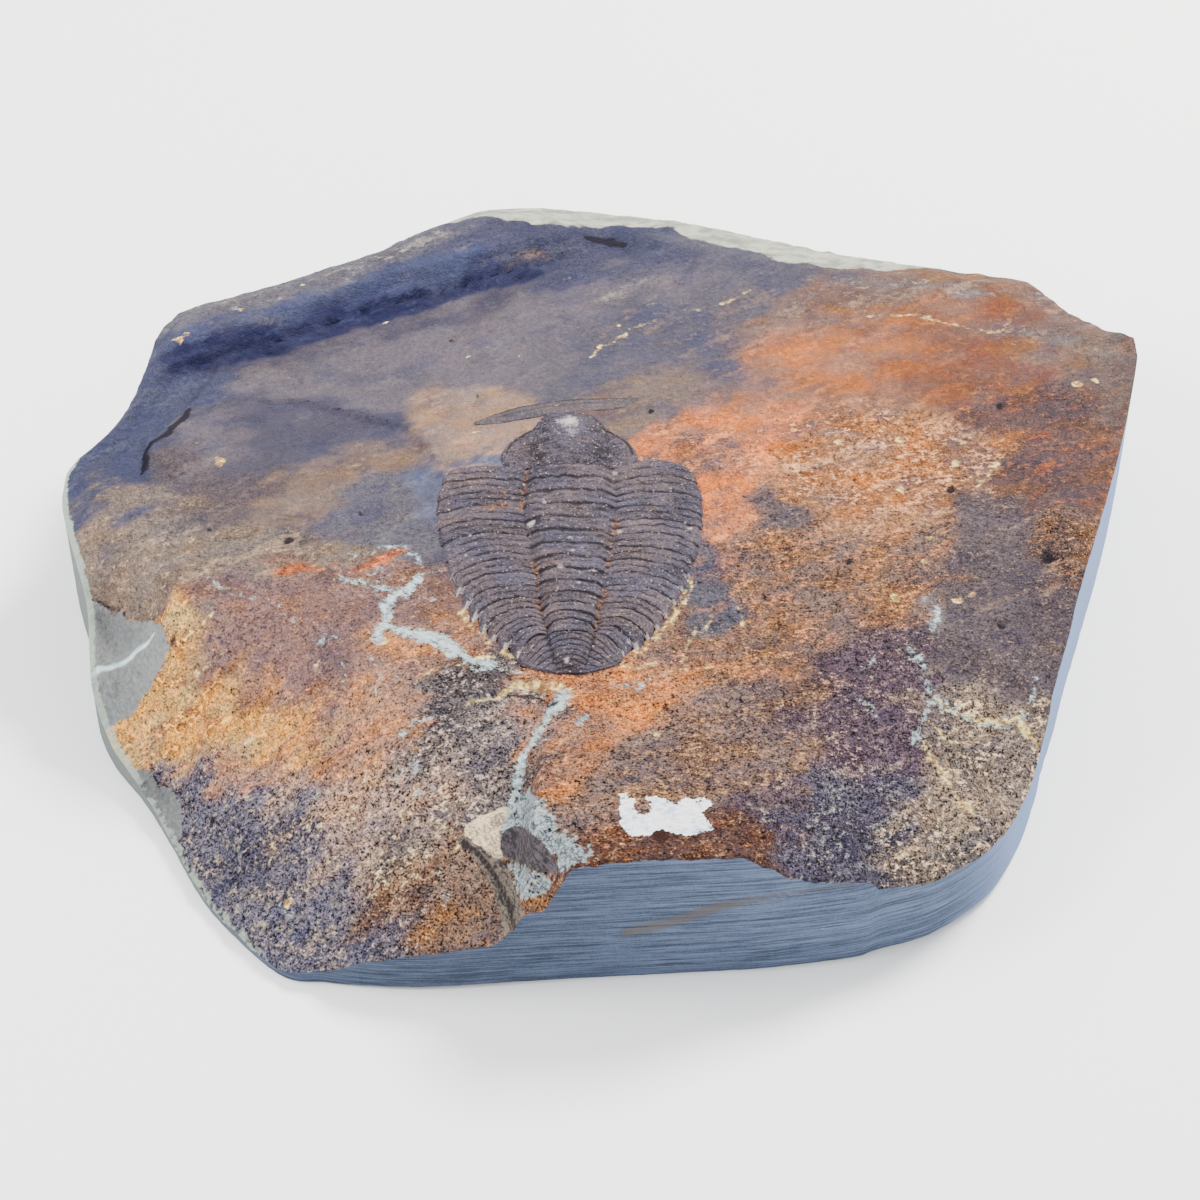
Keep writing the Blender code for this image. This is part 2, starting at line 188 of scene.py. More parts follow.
def solidFromGrid(name, points, floor, steps, wallMove=None, marks=None, colours=None, sides=None):
    # a closed body: the grid of points on top, rings of wall down to the floor, and a flat base;
    # marks and colours are triples for each point, and the wall repeats those of the rim
    rows, columns = points.shape[:2]
    corner = np.arange(rows * columns).reshape(rows, columns)
    loop = np.concatenate([corner[:-1, 0], corner[-1, :-1], corner[:0:-1, -1], corner[0, :0:-1]])
    cells = [corner[:-1, :-1], corner[1:, :-1], corner[1:, 1:], corner[:-1, 1:]]
    quads = [np.stack(cells, -1).reshape(-1, 4)]
    flat = points.reshape(-1, 3)
    rings, source, previous, count = [flat], [np.arange(len(flat))], loop, len(flat)
    for step in range(1, steps + 1):
        ring = flat[loop].copy()
        ring[:, 2] += (floor - ring[:, 2]) * step / steps
        rings.append(ring if wallMove is None else wallMove(ring, step / steps))
        source.append(loop)
        current = np.arange(count, count + len(loop))
        count += len(loop)
        quads.append(np.stack([previous, current, np.roll(current, -1), np.roll(previous, -1)], -1))
        previous = current
    vertices = np.concatenate(rings)
    vertices = np.clip(vertices, boxLow + [boxGap, boxGap, 0], boxHigh - boxGap)
    mesh = bpy.data.meshes.new(name)
    faces = np.concatenate(quads).tolist() + [previous[::-1].tolist()]
    mesh.from_pydata((vertices * millimetre).tolist(), [], faces)
    mesh.polygons.foreach_set("use_smooth", np.ones(len(mesh.polygons), bool))
    source = np.concatenate(source)
    marks = {label: values.reshape(-1, 3)[source] for label, values in (marks or {}).items()}
    if sides is not None:
        marks["sides"] = sides(vertices, np.arange(len(vertices)) >= len(flat))
    for label, values in marks.items():
        storeOnPoints(mesh, label, values, "FLOAT_VECTOR", "vector")
    for label, values in (colours or {}).items():
        opaque = np.append(values.reshape(-1, 3)[source], np.ones((len(source), 1)), axis=1)
        storeOnPoints(mesh, label, opaque, "FLOAT_COLOR", "color")
    thing = bpy.data.objects.new(name, mesh)
    bpy.context.collection.objects.link(thing)
    return thing


def finishPiece(thing, material, node, sharp=180):  # an edge that bends by more degrees is hard
    thing.data.materials.append(material)
    thing.data.set_sharp_from_angle(angle=math.radians(sharp))
    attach(thing, "root")
    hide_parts(node)


# shader maths: an expression on wires adds the Math nodes

light = {"onTop": 4.4, "gloss": 0.1}  # brightness of a white card lying on the slab, and every finish's gloss


def tint(red, green, blue, lit=1.0):
    # a colour as the eye sees it, 0 to 255, made into the share of light that the stone sends back:
    # 0.203 s^1.16 / (1 - s)^1.257 is the light behind a shade s; the second line makes it a little
    # purer, as the view softens it, and the third divides it by the light that falls there
    shade = np.clip(np.array([red, green, blue]) / 255, 0.005, 0.93)
    behind = 0.203 * shade**1.16 / (1 - shade) ** 1.257
    behind = behind + (behind - behind.mean()) * np.array([-0.06, 0.03, 0.13])
    return np.clip(behind / (light["onTop"] * lit), 0.002, 0.92)


class Wire:
    def __init__(self, finish, socket):
        self.finish = finish
        self.socket = socket

    def __add__(self, other):
        return self.finish.math("ADD", self, other)

    def __radd__(self, other):
        return self.finish.math("ADD", other, self)

    def __sub__(self, other):
        return self.finish.math("SUBTRACT", self, other)

    def __rsub__(self, other):
        return self.finish.math("SUBTRACT", other, self)

    def __mul__(self, other):
        return self.finish.math("MULTIPLY", self, other)

    def __rmul__(self, other):
        return self.finish.math("MULTIPLY", other, self)

    def above(self, low, high):  # 0 below low, 1 above high, smooth between
        return self.finish.node("ShaderNodeMapRange", {"interpolation_type": "SMOOTHSTEP"},
                                {"Value": self, "From Min": low, "From Max": high})

    def part(self, axis):
        return self.finish.node("ShaderNodeSeparateXYZ", {}, {0: self}, axis)


class Finish:
    def __init__(self, name, roughness):
        self.material = bpy.data.materials.new(name)
        self.material.use_nodes = True
        self.tree = self.material.node_tree
        self.shader = self.tree.nodes["Principled BSDF"]
        self.shader.inputs["Roughness"].default_value = roughness
        self.shader.inputs["Specular IOR Level"].default_value = light["gloss"]
        metres = self.node("ShaderNodeTexCoord", {}, {}, "Object")
        self.place = self.scaled(metres, 1 / millimetre)

    def node(self, kind, settings, inputs, output=0):  # settings first, then the sockets' values or links
        made = self.tree.nodes.new(kind)
        for key, value in settings.items():
            setattr(made, key, value)
        for key, value in inputs.items():
            if isinstance(value, Wire):
                self.tree.links.new(value.socket, made.inputs[key])
            else:
                made.inputs[key].default_value = value
        return Wire(self, made.outputs[output])

    def math(self, operation, first, second):
        return self.node("ShaderNodeMath", {"operation": operation}, {0: first, 1: second})

    def mix(self, share, first, second):  # a colour between two, from wires or from three numbers
        paints = {6: first, 7: second}
        for key, paint in paints.items():
            if not isinstance(paint, Wire):
                paints[key] = (*paint, 1)
        return self.node("ShaderNodeMix", {"data_type": "RGBA"}, {0: share, **paints}, 2)

    def swing(self, size, detail=3, turn=0, stretch=1, push=0.0, rough=0.6):
        # noise about 0, mostly from -0.5 to 0.5, with patches of a size in millimetres;
        # turn and stretch lay it in streaks, and push takes it from elsewhere
        place = self.node("ShaderNodeMapping", {"vector_type": "TEXTURE"}, {
            "Vector": self.place, "Location": (push, push, push), "Rotation": (0, 0, math.radians(turn)),
            "Scale": (stretch, 1, 1)})
        cloud = self.node("ShaderNodeTexNoise", {"noise_dimensions": "3D"}, {
            "Vector": place, "Scale": 1 / size, "Detail": detail, "Roughness": rough})
        return (cloud - 0.5) * 2.4

    def marks(self, label):  # three numbers that the mesh holds at each point
        three = self.node("ShaderNodeAttribute", {"attribute_name": label}, {}, "Vector")
        return [three.part(axis) for axis in range(3)]

    def colour(self, label):  # a colour that the mesh holds at each point
        return self.node("ShaderNodeAttribute", {"attribute_name": label}, {}, "Color")

    def scaled(self, colour, factor):
        return self.node("ShaderNodeVectorMath", {"operation": "SCALE"}, {0: colour, "Scale": factor})

    def vector(self, operation, first, second):
        return self.node("ShaderNodeVectorMath", {"operation": operation}, {0: first, 1: second})

    def use(self, socket, wire):
        self.tree.links.new(wire.socket, self.shader.inputs[socket])

    def bump(self, height, depth):  # depth in millimetres
        self.use("Normal", self.node("ShaderNodeBump", {}, {
            "Height": height, "Distance": depth * millimetre, "Strength": 1.0}))


# camera, floor and light

view = {"aim": (-1.65, -21.2, 24.0), "distance": 423.7, "elevation": 45.0, "lens": 90.0, "sensor": 36}
# keyLight and fillLight are what each lamp adds to the brightness of a level white card, and floorGlow is the
# brightness of the floor as a slope sees it
studio = {
    "floorSize": 6000, "floorShade": (0.9, 0.9, 0.895), "sky": (0.985, 0.995, 1.015), "skyStrength": 1.6,
    "keyPlace": (440, 400, 640), "keySize": 300, "keyLight": 1.95, "keyColour": (1.0, 0.985, 0.95),
    "fillPlace": (-600, -60, 480), "fillSize": 420, "fillLight": 0.85, "floorGlow": 4,
}


def makeCamera():
    lift = math.radians(view["elevation"])
    back = Vector((0, -math.cos(lift), math.sin(lift)))
    camera = bpy.data.objects.new("camera", bpy.data.cameras.new("camera"))
    camera.data.lens = view["lens"]
    camera.data.sensor_width = view["sensor"]
    camera.data.clip_start, camera.data.clip_end = 0.01, 20
    camera.location = (Vector(view["aim"]) + back * view["distance"]) * millimetre
    camera.rotation_euler = (-back).to_track_quat("-Z", "Y").to_euler()
    bpy.context.collection.objects.link(camera)
    bpy.context.scene.camera = camera


def softLamp(name, place, size, onLevel, colour=(1, 1, 1)):
    # a disc's power for a wanted brightness on the level: pi squared, distance cubed, over its height
    distance = math.hypot(*place) * millimetre
    lamp = bpy.data.lights.new(name, "AREA")
    lamp.shape = "DISK"
    lamp.size, lamp.color = size * millimetre, colour
    lamp.energy = onLevel * math.pi**2 * distance**3 / (place[2] * millimetre)
    thing = bpy.data.objects.new(name, lamp)
    thing.location = Vector(place) * millimetre
    thing.rotation_euler = (-Vector(place)).to_track_quat("-Z", "Y").to_euler()
    bpy.context.collection.objects.link(thing)


def makeStudio():
    half = studio["floorSize"] / 2 * millimetre
    mesh = bpy.data.meshes.new("floor")
    corners = [(-half, -half, 0), (half, -half, 0), (half, half, 0), (-half, half, 0)]
    mesh.from_pydata(corners, [], [(0, 1, 2, 3)])
    floor = bpy.data.objects.new("floor", mesh)
    bpy.context.collection.objects.link(floor)
    card = Finish("floor_card", 0.9)
    card.shader.inputs["Base Color"].default_value = (*studio["floorShade"], 1)
    mesh.materials.append(card.material)
    softLamp("key", studio["keyPlace"], studio["keySize"], studio["keyLight"], studio["keyColour"])
    softLamp("fill", studio["fillPlace"], studio["fillSize"], studio["fillLight"])
    sky = bpy.data.worlds.new("sky")
    sky.use_nodes = True
    backdrop = sky.node_tree.nodes["Background"]
    backdrop.inputs["Color"].default_value = (*studio["sky"], 1)
    backdrop.inputs["Strength"].default_value = studio["skyStrength"]
    bpy.context.scene.world = sky


def lightShare(points, reach):
    # the light on each point of a grid against that on the level: the slope is taken across a few cells,
    # the sky and the floor light it by halves, and each lamp by the cosine to it
    rows, columns = points.shape[:2]
    i, j = np.arange(rows), np.arange(columns)
    down = points[np.clip(i + reach, 0, rows - 1)] - points[np.clip(i - reach, 0, rows - 1)]
    across = points[:, np.clip(j + reach, 0, columns - 1)] - points[:, np.clip(j - reach, 0, columns - 1)]
    normal = np.cross(down, across)
    normal *= np.sign(normal[..., 2:]) / np.linalg.norm(normal, axis=-1, keepdims=True)
    openSky = 0.5 + 0.5 * normal[..., 2]
    total = studio["skyStrength"] * openSky + studio["floorGlow"] * (1 - openSky)
    for place, amount in (("keyPlace", "keyLight"), ("fillPlace", "fillLight")):
        toLamp = np.array(studio[place]) / math.hypot(*studio[place])
        total = total + studio[amount] * np.clip(normal @ toLamp, 0, None) / toLamp[2]
    return total / (studio["skyStrength"] + studio["keyLight"] + studio["fillLight"])


makeCamera()
makeStudio()
print("camera and studio ready")


# the animal's plan, which the slab needs too: sizes in millimetres, +y towards the head

animal = {
    "segments": 14, "axisX": -5.9, "axisTurn": -0.012, "axisY": -15, "axialRise": 0.75, "sideRise": 0.45,
    "crest": 24.75, "floor": 23.0, "tipBack": 1.6, "tipBackBehind": 3.3, "tipBackFront": 1.2,
    "levelShare": 0.42, "rowReach": 0.5, "rightReach": 1.6,
}
# y on the midline where each segment starts, and the last one's end
segmentEdges = [
    5.3, 2.4, -0.5, -3.3, -6.1, -8.9, -11.6, -14.3, -16.9, -19.5, -21.9, -24.1, -26.0, -27.7, -29.2,
]
# y and half width of the whole thorax, and of its middle lobe
flankWidths = [
    (-36.2, 1), (-35.4, 4), (-34, 7.4), (-32, 10), (-29, 12.4), (-25, 14.6), (-21, 16.3), (-17, 17.6),
    (-13, 18.6), (-9, 19.2), (-5, 19.7), (-1, 19.6), (2.6, 18.9), (5.5, 17.8), (8, 16.5),
]
lobeWidths = [
    (-31, 3.2), (-26, 4.2), (-22, 4.8), (-17, 5.1), (-13, 5.6), (-9, 6.2), (-5, 6.7), (0, 6.8), (5, 6.8),
]
# right halves of the head shield's and the tail shield's outlines: way out from the midline, y
headSide = [
    (0, 18.2), (2.2, 17.9), (3.9, 17.0), (4.9, 15.6), (5.7, 14.2), (7.3, 12.9), (8.9, 11.3), (9.9, 9.7),
    (10.3, 8.2), (10.1, 7.0), (9.5, 6.0),
]
headBack = [(8.2, 5.0), (5.6, 5.3), (3.0, 5.5), (0, 5.5)]
tailFront = [(0, -28.3), (3.4, -28.5), (5.6, -29.6), (6.9, -31.6)]
tailRim = [(7.3, -33.6), (5.9, -34.9), (3.2, -35.8), (0, -36.3)]


def midline(y):
    return animal["axisX"] + animal["axisTurn"] * (y - animal["axisY"])


def segmentY(s):
    return np.interp(s, np.arange(len(segmentEdges)), segmentEdges)


def thoraxPlace(s, side):
    # x and y on the thorax for s, counted in segments from the front, and side, -1 to 1 across: a row runs
    # level, then bends back to its tip like a quarter of an ellipse, more so behind; the right flank reaches
    # forward at the front
    out = np.abs(side)
    back = animal["tipBack"] + animal["tipBackBehind"] * smoothStep(2, 9, s) - animal["tipBackFront"] * (
        smoothStep(2, 0, s))
    tip = segmentY(s) - back
    bend = np.clip((out - animal["levelShare"]) / (1 - animal["levelShare"]), 0, 1)
    forward = (animal["rowReach"] + animal["rightReach"] * smoothStep(3, 0, s) * (side > 0)) * (
        smoothStep(0.3, 0.75, out))
    y = segmentY(s) + forward - (back + forward) * (1 - np.sqrt(np.clip(1 - 0.985 * bend**2, 0, 1)))
    return midline(y) + side * along(flankWidths, tip), y


def shellOutline():
    sides = {}
    for hand in (1, -1):
        front = [thoraxPlace(0.0, hand * side) for side in (0.6, 0.8, 0.93)]
        tips = [thoraxPlace(place, hand) for place in np.linspace(0.0, animal["segments"], 16)]
        head = [(midline(y) + hand * out, y) for out, y in headSide]
        tail = [(midline(y) + hand * out, y) for out, y in tailRim[1:]]
        sides[hand] = head + front + tips + tail
    return sides[1] + sides[-1][-2:0:-1]


# the slab

slab = {
    "top": 24.5, "cells": 270, "wallRows": 20, "rimRounding": 0.13, "ledgeRise": 2.6, "ledgeWidth": 4.0,
    "leftDrop": 1.3, "gashDepth": 1.0, "flakeDepth": 0.6, "tailFlakeDepth": 0.7, "flakeGrit": 0.22,
    "crackRiser": 4.0, "stepDrop": 0.35, "pitDepth": 1.1, "chipReach": 13, "chipWall": 3, "bedDepth": 1.3,
    "waves": 0.25, "ragged": 0.6, "rimWaves": 0.8, "scarDepth": 0.9, "scales": 0.35, "sawDepth": 0.1,
    "wornFoot": 0.7, "nickDepth": 0.8, "lightReach": 7, "sharpAngle": 55,
}
# corners of the outline: x, y, height of the rim, how far inward the surface takes to climb back
rim = [
    (-45.2, -69.2, 1.8, 31), (-38.9, -70.6, 3.2, 28), (-33.3, -71.4, 5.9, 26), (-25.8, -71.8, 8.0, 25),
    (-17.0, -71.3, 9.6, 24), (-13.6, -71.0, 11.5, 22), (-11.4, -70.9, 15.7, 9), (-8.8, -70.7, 16.9, 7),
    (-6.2, -70.5, 22.5, 5), (-3.0, -70.3, 25.2, 3), (15.4, -69.1, 25.2, 3), (19.5, -68.8, 23.2, 6),
    (25.6, -68.0, 18.8, 12), (33.7, -66.6, 17.0, 18), (36.4, -65.4, 14.4, 22), (44.1, -62.6, 13.0, 26),
    (52.1, -56.1, 12.6, 26), (57.1, -47.6, 12.4, 22), (60.4, -38.7, 17.0, 17), (61.3, -35.2, 20.0, 13),
    (64.4, -25.9, 22.8, 8), (66.5, -18.7, 24.2, 3), (75.5, 9.8, 24.4, 2), (81.2, 32.8, 24.2, 3),
    (80.4, 37.2, 24.0, 3), (77.0, 39.2, 23.4, 4), (71.0, 44.8, 23.0, 6), (67.4, 51.2, 22.4, 6),
    (62.4, 53.8, 22.0, 7), (41.4, 59.3, 21.4, 9), (29.4, 63.5, 21.0, 10), (11.4, 69.4, 21.0, 10),
    (-1.6, 71.6, 21.2, 10), (-14.6, 71.8, 22.0, 9), (-22.0, 68.0, 23.8, 6), (-30.5, 61.4, 25.2, 4),
    (-38.4, 55.5, 25.2, 4), (-57.9, 45.6, 25.2, 4), (-65.9, 42.2, 25.0, 4), (-69.9, 37.3, 24.4, 5),
    (-71.8, 28.3, 23.0, 5), (-74.4, 19.2, 22.2, 5), (-80.8, 9.2, 21.4, 5), (-81.2, 4.0, 21.2, 6),
    (-80.2, -1.4, 21.0, 6), (-77.6, -9.5, 20.5, 7), (-75.8, -14.9, 16.5, 10), (-75.0, -21.5, 13.4, 12),
    (-74.3, -26.2, 10.0, 14), (-71.5, -32.0, 5.5, 19), (-66.4, -39.0, 3.0, 25), (-61.9, -46.8, 2.2, 29),
    (-55.3, -58.5, 1.8, 31),
]
# lines that the ledge, steps and flakes follow: x, y, or y, x where a line runs towards the head
ledgeFoot = [
    (-82, 6), (-73, 18), (-68, 29), (-58, 33), (-50, 36.5), (-36, 44), (-24, 49), (-10, 55.5), (0, 60),
]
leftCrack = [(-30, -62), (-13.6, -63), (-1, -66), (5, -69.2), (12, -69.4), (21, -63.6), (30, -60)]  # y, x
flakeLine = [(-55, 21.5), (-47, 21), (-38, 17.6), (-31, 15.4), (-27, 10)]
tailFlakeLine = [(-27, -36), (-20, -35.3), (-11, -37), (-8, -40)]
tailCrack = [(-72, -14.5), (-62, -13.6), (-50, -11.2), (-40, -7.6)]  # y, x
rightStep = [(-34, 59.4), (-20, 59.6), (-12, 60.4), (-6, 63)]  # y, x
# sloping faces at the left: a place on top, the way down from it, the slope; they end round chipMiddle
chips = [((-70, -21), (-0.52, -0.85), 1.15), ((-62.5, -33), (-0.99, 0.1), 1.0)]
chipMiddle = (-71, -29)
# lumps and hollows: x, y, radius, height
nodules = [
    (65.0, -5.5, 3.2, 1.5), (69.0, -10.5, 2.6, 1.3), (63.6, -12.5, 2.2, 0.8), (71.0, 23.5, 2.8, 0.7),
    (-66.5, -29.5, 3.0, 1.2), (1.0, 58.5, 3.4, -1.3),
]
# small holes: x, y, radius
pits = [
    (-46.8, -9.6, 0.75), (-57.8, -7, 0.55), (-62, -24.8, 0.6), (58.8, 19.8, 0.65), (54.7, -26.3, 0.7),
    (33.6, -14, 0.55), (49.9, 1.2, 0.6), (5.8, 18.4, 0.5), (26.8, -1.2, 0.4), (-41.8, -9.4, 0.3),
    (-36.2, -14.7, 0.35), (-47.4, -35.5, 0.3), (-45.8, -39, 0.35), (-55.6, -46.8, 0.7), (-2.4, -54, 0.35),
    (-8, -41.2, 0.6), (60.8, -33.4, 0.5), (48.5, -36.5, 0.35), (-24.5, 35, 0.5), (62.6, -13.4, 0.8),
    (-36.2, -4, 0.45),
]


def beddingTop(x, y):
    # the bedding plane with its far ledge, steps and thin flakes; also how far left of the crack behind the
    # tail a point is, and where the flake beside that crack has come off
    fromAnimal = np.hypot(x - animal["axisX"], y + 8)
    top = slab["top"] + slab["waves"] * swell(x, y, 70, 5) * smoothStep(20, 40, fromAnimal)
    ragged = slab["ragged"] * roughness(x, y, 5, 31)
    foot = y - along(ledgeFoot, x) + ragged
    ledge = 0.75 * smoothStep(0.2, slab["ledgeWidth"], foot) + 0.25 * smoothStep(-0.3, 0.4, foot)
    scar = smoothStep(-6, -2, foot) * smoothStep(0.3, -0.6, foot) * smoothStep(2, -12, x)
    top = top + slab["ledgeRise"] * ledge * smoothStep(4, -14, x)
    top = top - scar * (slab["scarDepth"] * ridges(*turned(x, y, 27, 2), 2.6, 41) + 0.1)
    crack = along(leftCrack, y) - x
    beyondCrack = smoothStep(-0.8, 0.8, crack) * smoothStep(0, 7, y) * smoothStep(0.5, -4, foot)
    gash = hill(crack, 0, 0.5) * smoothStep(3, 8, y) * smoothStep(20, 16, y)
    top = top - slab["leftDrop"] * beyondCrack - slab["gashDepth"] * gash
    flaked = along(flakeLine, x) - y + 0.4 * ragged
    flakeEnds = smoothStep(-58, -52, x) * smoothStep(-26, -28, x)
    top = top - slab["flakeDepth"] * smoothStep(0, 0.6, flaked) * smoothStep(16, 6, flaked) * flakeEnds
    tailLeft = along(tailCrack, y) - x + 0.5 * ragged
    behind = along(tailFlakeLine, x) - y + 0.5 * ragged
    flake = smoothStep(0, 0.6, behind) * smoothStep(0, 0.8, tailLeft) * smoothStep(20, 12, tailLeft)
    top = top - slab["tailFlakeDepth"] * flake
    stepDown = smoothStep(0, 0.6, x - along(rightStep, y) + 0.3 * ragged) * smoothStep(-35, -32, y)
    return top - slab["stepDrop"] * stepDown * smoothStep(-10, -14, y), tailLeft, flake


def lumpsAndChips(top, x, y):
    # lumps and holes are round mounds, and each chip is a plane that cuts the top off where it is lower
    for atX, atY, radius, height in nodules:
        top = top + height * mound(x, y, atX, atY, radius, radius)
    for atX, atY, radius in pits:
        top = top - slab["pitDepth"] * radius * mound(x, y, atX, atY, radius, radius)
    away = np.hypot(x - chipMiddle[0], y - chipMiddle[1])
    for (atX, atY), (downX, downY), slope in chips:
        face = slab["top"] - slope * ((x - atX) * downX + (y - atY) * downY)
        top = np.minimum(top, face + slab["chipWall"] * np.clip(away - slab["chipReach"], 0, None))
    return top


def slabHeight(x, y, inward, rimHeight, shoulder):
    # near the rim the top falls to the rim's height by the share (s + sqrt(s^2 + rimRounding^2)) / 2, where s
    # is 1 less the way in over the shoulder's width, but it holds up to the crack behind the tail
    bedding, tailLeft, flake = beddingTop(x, y)
    top = lumpsAndChips(bedding, x, y)
    short = 1 - inward / shoulder
    lack = 0.5 * (short + np.sqrt(short**2 + slab["rimRounding"] ** 2))
    held = smoothStep(0, slab["crackRiser"], -tailLeft) * smoothStep(5, 9, inward) * (y < 0) * (x < 10)
    lack = lack * (1 - held)
    uneven = slab["rimWaves"] * swell(x, y, 17, 11) * np.clip(lack, 0, 1) * np.clip(inward / 4, 0, 1)
    broken = smoothStep(0.03, 0.3, lack) * smoothStep(10, -20, y)
    near = smoothStep(10, -30, y)
    scaly = roughness(x, y, 4, 71) + ridges(*turned(x, y, 33, 3), 1.6, 75)
    fine = (0.09 + 0.08 * near) * roughness(x, y, 6, 51) + (0.02 + 0.07 * near) * grain(x, y, 1.2, 61)
    fine = fine + broken * slab["scales"] * scaly - slab["flakeGrit"] * flake * ridges(x, y, 1.7, 91)
    return top + (rimHeight - top) * lack + uneven + fine


# how stains spread: they lie in streaks, with ragged borders that soften in the far right part
spread = {
    "bend": 2.4, "bendSize": 9, "streakTurn": 24, "streakStretch": 2.0, "falloff": 1.7, "smallFirst": 0.12,
    "noise": 5.5, "noiseSize": 4.5, "softening": 0.5,
}
